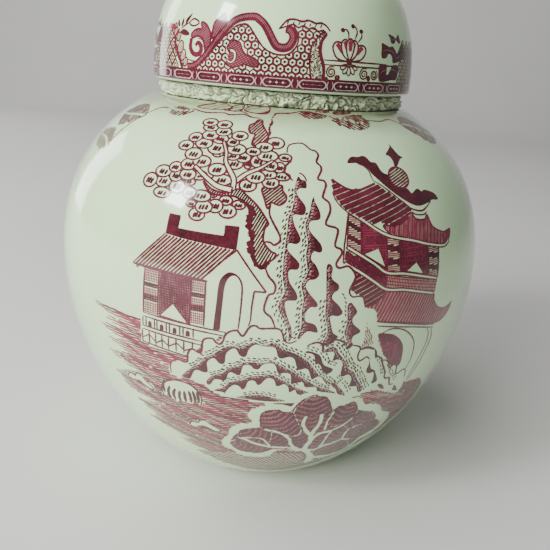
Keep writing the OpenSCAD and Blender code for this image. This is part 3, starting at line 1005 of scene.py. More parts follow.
def draw_tree(sheet):
    """The apple tree: hatched trunk, pale branches, and round fruit with a few short ticks in each."""
    sheet.piece("print_apple_tree")
    for line, width in (
        ([(-26.5, 43.6), (-20.5, 40.2), (-17, 38.6), (-12.6, 38)], (1.1, 1.6)),
        ([(-19.5, 52.5), (-17.3, 49), (-16.5, 46), (-14.5, 43.5), (-12.6, 41), (-12.4, 38)], (1.0, 1.7)),
        ([(-12.4, 40), (-9, 43), (-5, 45), (-1, 47.6)], (1.5, 0.8)),
    ):
        shape = band_shape(line, width)
        sheet.motif(shape, 0.36)
    trunk = loop([(-22, 39.6), (-18.6, 37.6), (-14, 37), (-10.5, 38.5), (-8.2, 37.2), (-4.3, 34.3),
                  (-1.2, 30.6), (-1, 29.6), (-1.8, 28.6), (-1.9, 25.4), (0.2, 23), (1.6, 22.4),
                  (1.6, 21.4), (-0.6, 19.6), (-1, 18.6), (-2.4, 18.4), (-4.6, 21), (-5, 23), (-5.6, 24),
                  (-5.2, 25), (-5.5, 27), (-6.2, 28.5), (-6.4, 31), (-6, 33.4), (-11, 36.2), (-15, 36.2),
                  (-19, 36.6)])
    sheet.motif(trunk, 0.45, (62, 0.72, 0.36, DARK), hides=False)
    shade = [(-11, 36.4), (-6, 33.4), (-6.3, 31), (-6, 28.5), (-5.3, 27), (-5, 25), (-5.4, 24),
             (-4.2, 20.8), (-3, 19), (-1.4, 18.8), (-0.2, 20.2)]
    sheet.stroke(shade, 1.5, DARK, (0.3, 0.7), rough=0.5)
    sheet.clear(trunk)
    for u, v, a, b in APPLES:
        fruit = oval_shape(u, v, a, b)
        sheet.outline(fruit, 0.42)
        for k in (-1, 0, 1):
            tick = np.array([u + k * min(1.02, a * 0.35), v - 0.12]) + rng.uniform(-0.12, 0.12, 2)
            lean = np.array([0.22, 0.7 * b / 1.7])
            sheet.stroke([tick - lean, tick + lean], 0.6, DARK, (1, 0.5), rounded=False)
        sheet.clear(fruit)
    broken = loop([(-8.8, 62), (-7, 62), (-6.5, 60), (-3.6, 56), (-4.5, 54), (-8.6, 52), (-9, 54),
                   (-8.7, 56), (-10.6, 56.4), (-11.6, 58), (-11.6, 59.6), (-9.8, 60.6)])
    sheet.motif(broken, 0.5, (50, 0.95, 0.44), hides=False)
    sheet.stroke([(-3.2, 63), (-2.8, 61.4), (-3.4, 60), (-3.6, 58.6), (-3.2, 57.4), (-3, 56)], 0.55,
                 rough=0.5)
    root = loop([(-3.4, 39.5), (2, 40.5), (2.6, 39), (3.8, 37.4), (3.4, 36), (1.8, 35), (-0.6, 35.6),
                 (-0.8, 34.2), (-1.6, 34), (-2.6, 36.4)])
    sheet.motif(root, 0.45, (40, 0.72, 0.4, DARK), hides=False)
    sheet.stroke([(-0.8, 34.4), (-0.6, 32), (2.6, 26.6), (1.2, 24.6), (0, 25.2), (-1.4, 25.2), (-2, 24.4)],
                 0.5)


def draw_house(sheet):
    """The tea house on the left, with a tiled roof, a big arched gable and a balustrade."""
    sheet.piece("print_tea_house")
    arch_line = [(-7, 0.6), (-6.6, 6), (-6.5, 12), (-7, 14.4), (-8.4, 16), (-10, 16.4)]
    crescent = np.concatenate([
        smooth([(-13.8, 0), (-13.2, 8), (-12.9, 13), (-12, 15.2), (-10.4, 16.5), (-9, 16.4), (-7.4, 15.2)]),
        smooth([(-8, 15.4), (-9.2, 15.8), (-10.4, 14.8), (-11.2, 12.6), (-11.5, 8), (-11.9, 0)])])
    sheet.patch(crescent)
    sheet.stroke(arch_line, 0.4)
    ridge = [(-30, 24), (-30, 29.5), (-26.2, 29.4), (-26.3, 26), (-12.8, 25.8), (-12.9, 28.6), (-8.7, 28.6),
             (-8.9, 22.4), (-26, 23.6)]
    sheet.patch(ridge)
    sheet.clear(ridge)
    roof = [(-39.4, 14), (-30, 23.9), (-9, 22.4), (-17.8, 13.4)]
    sheet.hatch(roof, 46.5, 0.85, 0.47)
    sheet.stroke([(-39.4, 14), (-30, 13.8), (-17.6, 13.4), (-16, 13.3)], 0.7, rounded=False)
    sheet.stroke([(-39.6, 14), (-30, 24)], 0.4, rounded=False)
    gable = [(-17.8, 13.5), (-13, 18.8), (-8.8, 22.5), (-4.4, 17.2), (-0.1, 12.1), (-3.3, 12.1), (-3.7, 8),
             (-3.8, 4), (-5, -0.4)]
    sheet.stroke(gable, 0.42, rounded=False)
    sheet.clear(roof)
    post_breaks = [13.7, 10, 8.4, 6.2, 4.4, 0.8]
    for k, (top, low) in enumerate(zip(post_breaks, post_breaks[1:])):
        for left, right in ((-35.2, -30.3), (-20.4, -16.4)):
            block = [(left, low), (left, top), (right, top), (right, low)]
            sheet.hatch(block, 90, 0.55, 0.36 if k % 2 else 0.16, DARK if k % 2 else MID)
            sheet.hatch(block, 0, 0.7, 0.3 if k % 2 else 0.12, DARK if k % 2 else MID)
    tent = [(-29.8, 1), (-25.6, 5.5), (-20.8, 0.3)]
    sheet.motif(tent, 0.3)
    panel = [(-30.2, 0.6), (-30.2, 13.6), (-20.5, 13.6), (-20.5, 0.4)]
    sheet.hatch(panel, 90, 0.5, 0.33)
    sheet.hatch(panel, 0, 0.7, 0.2)
    for u in (-35.2, -30.3, -20.4, -16.4):
        sheet.stroke([(u, 13.6), (u, 0.4)], 0.4, rounded=False)
    for line in (
        [(-35.2, 0.6), (-20, 0.2), (-10.3, -0.3)], [(-35.2, -0.5), (-19, -1), (-11, -1.4)],
        [(-35.6, -3.5), (-22, -3.9), (-17, -4.2)], [(-35.6, -4.6), (-22, -5.1), (-17, -5.4)],
        [(-36, -8.8), (-30, -9.3), (-22.4, -9.9), (-20.8, -9.9)],
    ):
        sheet.stroke(line, 0.4, rounded=False)
    sheet.stroke([(-10.3, -0.3), (-10.8, -2), (-11.3, -3.2)], 0.45)
    for u in (-35.4, -34.3, -31.4, -30.6, -27.6, -26.6, -23.4, -22.4, -19.4):
        sheet.stroke([(u, -0.7), (u, -3.6)], 0.34, rounded=False)
    for u in (-33, -29.1, -25, -21):
        sheet.patch([(u - 0.65, -3.5), (u - 0.65, -2.2), (u - 0.35, -1.7), (u, -1.5), (u + 0.35, -1.7),
                     (u + 0.65, -2.2), (u + 0.65, -3.5)])
    for u in (-35.8, -33.4, -31.2, -29.1, -27, -24.6, -22.2, -19.6, -17):
        sheet.stroke([(u, -4.8), (u - 0.1, -9.2)], 0.36, rounded=False)
    sheet.stroke([(-35.7, -7.4), (-33.4, -6), (-31, -8), (-29, -6.6), (-27, -8), (-24.4, -6.4), (-22, -8.2),
                  (-19.8, -7), (-17.6, -8)], 0.36, rounded=False)
    sheet.clear([(-36.2, -9.4), (-36, 13.6), (-17.8, 13.5), (-8.8, 22.5), (0.4, 12), (-3.3, 12.1),
                 (-5, -0.4), (-10, -0.3), (-17, -5.6), (-20.6, -10)])


def draw_pagoda(sheet):
    """The two-storey pagoda on the right, with curling roofs and a balcony."""
    sheet.piece("print_pagoda")
    ball = oval_shape(43.6, 43.2, 4.2, 3.3)
    sheet.motif(ball, 0.45, (20, 0.75, 0.4))
    star = loop([(46.4, 54.8), (46, 53.4), (42, 50.8), (43.2, 50.2), (44, 48.6), (43.6, 46.6), (45, 46.8),
                 (48, 49), (50, 49.5), (48.4, 50.4), (47, 53.4)])
    sheet.patch(star)
    crest = loop([(24.6, 48), (26.6, 50), (29.5, 50), (31, 50.4), (32.6, 50.1), (34, 48.4), (35.6, 48.2),
                  (36.4, 47.4), (36.8, 45.8), (38, 44.6), (40, 44), (43, 41.4), (46.2, 39.4), (47, 38.2),
                  (50, 39.4), (51.4, 39), (52, 38.4), (54, 38.8), (58.4, 37.4), (59.6, 35.4), (56, 35.6),
                  (54, 35), (47.4, 34.6), (40, 38.4), (33.4, 44), (32.2, 45.8), (30.6, 47.2), (28, 48)])
    sheet.patch(crest)
    sheet.clear(crest)
    sheet.stroke([(28, 48), (30.6, 47), (32, 45.4), (32.4, 43.4), (33, 42.2)], 0.3)
    sheet.stroke([(33, 42.4), (36, 40.6), (43, 35.4), (45.4, 33.8), (50, 33), (55, 35.2)], 0.4)
    roof = loop([(18.2, 43), (18.1, 38.8), (22, 34.2), (30, 30.6), (33, 30.6), (36, 29.8), (39, 29.8),
                 (43.4, 32), (45.4, 33.6), (43, 35.2), (36, 40), (33, 41.8), (30, 40.8), (26, 39.8),
                 (23, 40.2), (20.6, 41.4)])
    sheet.hatch(roof, 18, 1.6, 1.15)
    sheet.hatch(roof, 18, 0.8, 0.5)
    sheet.stroke([(18.2, 43), (20.6, 41.4), (23, 40.2), (26, 39.8), (30, 40.8), (33, 41.9)], 0.5)
    sheet.clear(roof)
    edge = [(18.2, 39.6), (19.4, 36.8), (22, 34.4), (26, 32), (34, 27.4), (44, 25), (50, 23.4), (57, 22),
            (59.4, 22.2), (61, 23.2)]
    lip = band_shape(edge, 0.95)
    sheet.motif(lip, 0.3)
    tail = loop([(33.4, 30), (37, 29.6), (40, 30), (43, 31.6), (44.4, 33.2), (46.4, 30.8), (50, 30.4),
                 (51.6, 31.6), (53.4, 28), (58.6, 25.8), (62.4, 26.2), (62, 24.4), (60.6, 23), (58, 22.4),
                 (54, 22.9), (38, 26.6), (34.6, 28.2)])
    sheet.motif(tail, 0.36, (75, 0.55, 0.3, MID), (75, 1.65, 0.4, MID), hides=False)
    sheet.patch(loop([(58.6, 25.8), (62.4, 26.2), (62, 24.4), (60.6, 23.1), (57, 22.6), (60, 24.6)]), MID)
    sheet.clear(tail)
    sheet.stroke([(44.2, 33.6), (46.4, 32.2), (50, 31.8), (51.8, 32.4)], 0.36)
    sheet.stroke([(44, 32.4), (46, 31), (49, 30.4), (51.4, 30.8)], 0.36)
    upper_rail = [(21.4, 24.6), (26, 22), (30, 19.6), (34, 17), (40, 16.2), (46, 14.8), (54, 12.8)]
    lower_rail = [(20.6, 20.4), (26, 17.4), (30, 14.8), (34, 12.4), (40, 11.6), (46, 10.2), (53, 8.4)]
    for rail in (upper_rail, lower_rail):
        shape = band_shape(rail, 0.95)
        sheet.motif(shape, 0.32)
    left_panel = [(21, 24), (34, 16.4), (33.6, 12.8), (20.8, 20.2)]
    right_panel = [(34, 16.4), (54, 12.4), (53.4, 8.8), (34, 12.6)]
    sheet.hatch(left_panel, 80, 0.55, 0.42)
    sheet.hatch(left_panel, -31, 1.0, 0.3)
    sheet.motif(right_panel, 0.3, (85, 0.6, 0.3, MID), (-11, 0.9, 0.22, MID), hides=False)
    for tent in ([(26.2, 22.6), (31.2, 24), (33.6, 18.4)], [(40.6, 16.8), (44.8, 19), (48, 15)]):
        sheet.motif(tent, 0.3)
    walls = [
        ([(21.4, 25), (22.3, 33.4), (26, 31.4), (25.6, 22.8)], True),
        ([(26, 22.8), (26.4, 31), (34, 27), (34, 17.4)], False),
        ([(34, 17.4), (34.2, 26.8), (38.4, 25.8), (38.6, 16.8)], True),
        ([(39, 16.8), (38.8, 25.6), (49.6, 23.2), (49.8, 14.4)], False),
        ([(50.2, 14.2), (50, 23), (54.9, 22), (54.4, 13.2)], True),
    ]
    courses = 5
    for corners, checked in walls:
        corners = np.array(corners)
        left, right = corners[1] - corners[0], corners[2] - corners[3]
        for k in range(courses if checked else 0):
            block = [corners[0] + left * k / courses, corners[0] + left * (k + 1) / courses]
            block += [corners[3] + right * (k + 1) / courses, corners[3] + right * k / courses]
            sheet.hatch(block, 0, 0.5, 0.44 if k % 2 else 0.22, DARK if k % 2 else MID)
        if not checked:
            sheet.hatch(corners, 88, 0.5, 0.4)
            sheet.hatch(corners, 0, 0.7, 0.26, MID)
        sheet.outline(corners, 0.3)
    sheet.stroke([(22.2, 33.6), (20.6, 25), (20.2, 20)], 0.4, rounded=False)
    sheet.stroke([(55.2, 22.2), (54.5, 13)], 0.4, rounded=False)
    under = loop([(23.6, 18.6), (32, 13.4), (33.8, 12), (31, 9), (29, 8.2), (27.6, 8.2), (26.6, 11),
                  (24.6, 11.4), (23.4, 11), (22.8, 12.2), (24, 15.6)])
    sheet.motif(under, 0.4, (25, 1.3, 0.85), (25, 0.65, 0.4))
    skirt = loop([(34.4, 12), (47, 9.8), (53, 8.2), (53.6, 6.4), (55, 4.4), (57, 3), (60, 2.1), (63, 2.4),
                  (64.6, 3), (64.2, 1.4), (62.4, -0.4), (59.6, -1.7), (56, -1.7), (50, -0.4), (40, 1.8),
                  (31, 3.6), (28.4, 6.4), (28.2, 8), (31, 9), (33, 10.6)])
    sheet.motif(skirt, 0.38, (62, 0.55, 0.28, MID), (62, 1.1, 0.3, MID))
    sheet.stroke([(31, 3.4), (35, 2.6), (40, 1.6), (50, -0.8), (56, -2.2)], 0.5)
    sheet.stroke([(31.4, 2), (40, 0.4), (46, -0.8), (56, -3.3)], 0.34)
    for line in (
        [(33.6, -0.9), (37.6, 0.2), (43, -1.4), (47.6, -6), (48.6, -12), (47.6, -16.5)],
        [(52.6, -2.6), (54, -5), (54.2, -8), (53.2, -12), (52, -16), (50.4, -21)],
        [(54.8, -3.2), (56, -6), (56, -8), (55, -12), (53.6, -17), (51, -22)],
    ):
        sheet.stroke(line, 0.36)
    door = loop([(33.2, -1.2), (34, -0.9), (39, -2.4), (42.8, -6.4), (43.9, -12), (43.4, -13.4),
                 (42, -12.6), (41, -12.8), (40.4, -13.6), (39.4, -13.2), (38.6, -11.6), (37, -10),
                 (35.6, -5.4), (34.4, -3.4)])
    middle = door.mean(0) + (0.6, 0)
    core = middle + (door - middle) * 0.55
    sheet.hatch(core, 90, 0.5, 0.3, MID)
    sheet.motif(door, 0.5, (90, 0.42, 0.34), hides=False)
    sheet.clear([(20.5, 20), (20.5, 25), (22, 34), (44, 44), (56, 36), (54.8, 22), (56, 4), (55, -12),
                 (51, -22), (34, -2), (28, 4), (28, 8), (23, 11), (23, 16)])


def water_left(v):
    """Left end of the water's lines at height v: ragged tongues with notches between."""
    tips = [(-2, -57), (-3, -55.2), (-4.6, -44.5), (-5.4, -53.5), (-7.4, -45), (-8.4, -55.5), (-9.4, -52.6),
            (-11.4, -44), (-12.4, -51.2), (-15.6, -43), (-17.6, -53), (-19, -50.4), (-21.6, -41),
            (-26, -52), (-27.4, -50.6), (-31, -48), (-33, -36), (-35.8, -45.6), (-40.6, -38),
            (-43.4, -43.2), (-45, -39), (-48, -31), (-49.6, -27), (-51, -31.6), (-54, -28), (-56, -20),
            (-58.5, -24), (-61, -10)]
    heights, lefts = zip(*reversed(tips))
    return float(np.interp(v, heights, lefts))


def scales_top(u):
    """Upper edge of the lens-shaped bank of fish scales under the bush."""
    return -51.5 - 0.006 * (u - 9) ** 2


def scales_foot(u):
    """Lower edge of the same bank."""
    return -73 + 0.012 * (u - 9) ** 2


def draw_water(sheet):
    """Rippled water in fine ruled lines, with small islets left white and a bank of scales."""
    sheet.piece("print_water")
    fan_top = [(-31.4, -28), (-31.6, -25), (-30, -22), (-27, -20.2), (-24, -19.8), (-21, -20.4),
               (-18.6, -22.6), (-17.8, -25.4), (-18.4, -28.6)]
    fan = loop(fan_top + [(-19.6, -26.6), (-22, -28.6), (-24.6, -28), (-27, -29), (-29.4, -26.6)])
    sheet.stroke(fan_top, 0.5, DARK)
    for u, low, lean in ((-30.8, -26.6, 0.4), (-29.2, -28, 0.8), (-27.4, -28.4, 0.9), (-25.4, -28.8, 0.5),
                         (-23.4, -28.4, 0), (-21.4, -28, -0.5), (-20, -27.6, -0.6), (-18.8, -27.4, -0.3)):
        sheet.stroke([(u + lean, low + 5), (u - 0.1, low + 2.4), (u + 0.3 * lean, low)], 0.85, DARK,
                     (0.2, 0.3))
    sheet.clear(fan)
    islets = [
        [(-45.8, -26), (-45.4, -24.6), (-44, -23.8), (-42.2, -24.2), (-41.6, -23), (-40.4, -22.6),
         (-38.8, -23), (-38.2, -24.2), (-35.6, -26.2), (-35.4, -27.4), (-38, -27), (-41, -26), (-44, -26.4)],
        [(-24, -40), (-23.6, -38.4), (-22.4, -37.4), (-20.6, -37.4), (-19.8, -36), (-18.4, -35.4),
         (-17, -35.8), (-16, -36.8), (-12.8, -39), (-12.6, -40), (-15, -40.4), (-18, -39.8), (-21, -40.4)],
    ]
    for points in islets:
        shape = loop(points)
        sheet.outline(shape, 0.42, DARK)
        low, high = shape.min(0), shape.max(0)
        for k in range(3):
            y = low[1] + 0.9 + 0.5 * k
            sheet.stroke([(low[0] + 2.5 + k, y), (high[0] - 2.5 - k, y - 0.5)], 0.4)
        sheet.clear(swollen(shape, 1.07))
    pitch, lowest = 0.74, -61
    v = -2.2
    while v > lowest:
        left = water_left(v) + rng.uniform(-0.9, 0.9)
        right = np.interp(v, [-61, -50, -40, -30, -24, -20, -2], [34, 58, 66, 66, 60, 40, 40])
        u = np.arange(left, right, 0.5)
        ripple = 0.10 * np.sin(u * 0.55 + v * 1.9) + 0.05 * np.sin(u * 1.7 + v * 3.1)
        swell = 0.62 + 0.08 * np.sin(u * 0.21 + v * 0.9) + 0.05 * np.sin(u * 0.83 + v * 2.0)
        line = np.stack([u, v + ripple], 1)
        half = swell / 2 * np.interp(u - left, [0, 6], [0.5, 1]) * (1 + 0.2 * rng.uniform(-1, 1, len(u)))
        show = sheet.shown(line) & (v > scales_top(u))
        show[rng.random(len(u)) < 0.004] = False
        for a, b in stretches(show):
            if b - a > 1:
                sheet.ribbon(line[a:b], half[a:b], LINE if rng.random() < 0.3 else MID, 2)
        v -= pitch
    rows, columns = 20, 38
    scale = np.array([(-1.0, -0.3), (-0.4, 0.4), (0.4, 0.4), (1.0, -0.3)])
    for row in range(rows):
        for k in range(columns):
            u = -27 + 1.95 * k + (0.97 if row % 2 else 0) + rng.uniform(-0.2, 0.2)
            v = -51.4 - 1.15 * row + rng.uniform(-0.15, 0.15)
            if scales_foot(u) < v < scales_top(u) + 0.5:
                sheet.stroke(scale + (u, v), 0.46, MID if rng.random() < 0.5 else LINE)


def draw_neck_sprays(sheet):
    """Leafy sprays that hang round the neck, over the shoulder."""
    sheet.piece("print_neck_sprays")
    feather = loop([(23.6, 65.8), (26, 66.2), (30, 65.6), (33, 66.4), (38, 67), (43.6, 67), (42, 66),
                    (44.4, 64.6), (43.6, 62.6), (41, 60.8), (37, 59.8), (33, 60), (29, 61), (26, 62.4),
                    (24.2, 64)])
    far_feather = loop([(66, 62), (70, 65.4), (76, 66), (82, 64), (88, 60), (92, 56), (88, 53), (82, 52.6),
                        (76, 54), (71, 57)])
    for leaf, rib, lean in (
        (feather, [(25, 66), (30, 65), (34, 64), (38, 63.2), (41, 63)], -38),
        (loop([(-54, 63), (-52.6, 60.4), (-48, 59.8), (-44, 60.4), (-40.6, 63.4), (-49, 64.4),
               (-52.6, 64)]), [(-53, 62.6), (-47, 62.4), (-41, 63.2)], 40),
        (far_feather, [(67, 62.4), (75, 61), (84, 57.6), (91, 55.6)], -45),
        (loop([(-66, 58), (-70, 61), (-76, 62.4), (-84, 61), (-90, 56.6), (-86, 53.6), (-80, 51),
               (-74, 52.6), (-69, 55)]), [(-67, 57.4), (-75, 57), (-84, 56), (-90, 56)], 42),
        (loop([(-72, 44), (-75, 48), (-80, 50), (-87, 48.6), (-92, 46), (-88, 42.6), (-80, 41.4),
               (-75, 42)]), [(-73, 43.4), (-80, 45.6), (-90, 45.8)], 30),
    ):
        sheet.clear(band_shape(rib, (0.8, 0.4)))
        sheet.hatch(leaf, lean, 1.2, 0.6, LINE, 0.2, 6, rough=0.45)
    for shape in (
        [(9, 67.4), (13, 67.8), (18, 67), (23, 66), (20, 64.6), (15, 64), (11, 65)],
        [(17.8, 67.8), (19.4, 69.4), (24, 69.6), (25.8, 69), (24, 67.4), (20, 67.4)],
        [(26.6, 67.4), (28.4, 69), (34, 69.4), (39, 69), (37.6, 68), (34, 67), (29, 66.6)],
    ):
        sheet.hatch(loop(shape), -38, 1.0, 0.52, LINE, 0.2, 6, rough=0.4)
    pods = [
        [(-41, 65.6), (-32, 68.6), (-27, 68.2), (-23, 66.4), (-27, 65.4), (-33, 64.8), (-38, 64.8)],
        [(-25, 66.2), (-21, 68.4), (-18.4, 69.4), (-17.6, 67), (-19, 65.4), (-22, 65)],
        [(-16.6, 66), (-14, 68.4), (-10, 69.4), (-6, 69), (-4.8, 67), (-7, 65.4), (-11, 65)],
    ]
    for pod in pods:
        pod = loop(pod)
        sheet.outline(pod, 0.34)
        sheet.hatch(pod, 20, 1.5, 0.12, LINE, 0.2, 6, skip=0.5)
        sheet.clear(pod)
    for line, width in (
        ([(-42, 64), (-34, 63), (-26, 63.8), (-22, 63.2), (-16, 64), (-12, 63), (-8, 62.8)], 0.5),
        ([(-41, 66), (-36, 65), (-32, 64.8), (-28, 65.4), (-24, 65), (-20, 65.6), (-14, 64.4)], 0.4),
        ([(-20, 69), (-18.6, 67.6), (-18, 65.6)], 0.9),
        ([(-17, 69), (-15.4, 67.8), (-13, 66), (-10, 65), (-7, 65), (-5, 66), (-4.6, 69)], 0.45),
        ([(-3, 63.4), (-2.2, 64.8), (-1, 65.8), (4, 66.2), (8, 67), (9, 67.4)], 0.5),
        ([(9, 67.4), (14, 67.6), (23, 66)], 0.45),
        ([(44, 64.4), (52, 64), (60, 64.8), (66, 62.4)], 0.4),
        ([(66, 62.4), (69, 60), (72, 57.6)], 0.4),
        ([(70, 63), (73, 63.6), (76, 64.4)], 0.6),
        ([(-56, 62.6), (-62, 62), (-67, 58)], 0.4),
        ([(-68, 57), (-72, 50), (-73, 44)], 0.45),
    ):
        sheet.stroke(line, width, rough=0.3)


def print_pot():
    """The whole scene on the front and again on the back."""
    for end, turn in (("", 0.0), ("_back", math.pi * belly_r)):
        sheet = Sheet(body_skin, "jar", "body_glaze", end)
        sheet.turn = turn
        draw_neck_sprays(sheet)
        sheet.front = []
        draw_foliage(sheet)
        draw_ridges(sheet)
        draw_side_rocks(sheet)
        draw_rocks(sheet)
        draw_tree(sheet)
        draw_house(sheet)
        draw_pagoda(sheet)
        draw_water(sheet)
        sheet.lay()


print_pot()


# ---------------------------------------------------------------- the border on the lid
LID_REPEATS = 3
CARTOUCHES = 27


def draw_rim_band(sheet):
    """Crimson band round the rim, with a row of bracketed panels, each holding a row of lozenges."""
    sheet.piece("print_lid_rim")
    half_round = math.pi * lid_r
    low, high = 0.68, 4.1
    columns, steps = 360, 6
    round_u = np.arange(0, columns + 1) / columns * 2 * half_round
    grid_v = np.linspace(low, high, steps)
    flat = np.array([(u, v) for u in round_u for v in grid_v])
    spot, out, *_ = sheet.skin.place(flat[:, 0], flat[:, 1], 0.022)
    corners = [i * steps + j for i in range(columns) for j in range(steps - 1)]
    faces = [(n, n + steps, n + steps + 1, n + 1) for n in corners]
    sheet.add(spot, out, faces, DARK)
    pitch = 2 * half_round / CARTOUCHES
    for k in range(CARTOUCHES):
        mid = 3.7 + (k + 0.5) * pitch
        half = pitch / 2 - 1.5
        for side in (-1, 1):
            end = mid + side * half
            sheet.stroke([(end - side * 1.0, 3.5), (end - side * 0.1, 3.1), (end + side * 0.3, 2.35),
                          (end - side * 0.1, 1.6), (end - side * 1.0, 1.2)], 0.2, BLUSH)
            sheet.stroke([(end + side * 0.9, 3.4), (end + side * 0.55, 2.35), (end + side * 0.9, 1.3)],
                         0.12, BLUSH)
        for v in (1.35, 3.4):
            sheet.stroke([(mid - half + 0.8, v), (mid + half - 0.8, v)], 0.06, BLUSH, rough=0.4)
        for j in range(-3, 4):
            u = mid + j * 0.9
            reach = 0.2 if j % 2 else 0.42
            sheet.stroke([(u - reach, 2.35), (u + reach, 2.35)], 1.4 * reach, BLUSH, (0.1, 0.1),
                         rounded=False, rough=0, step=reach)


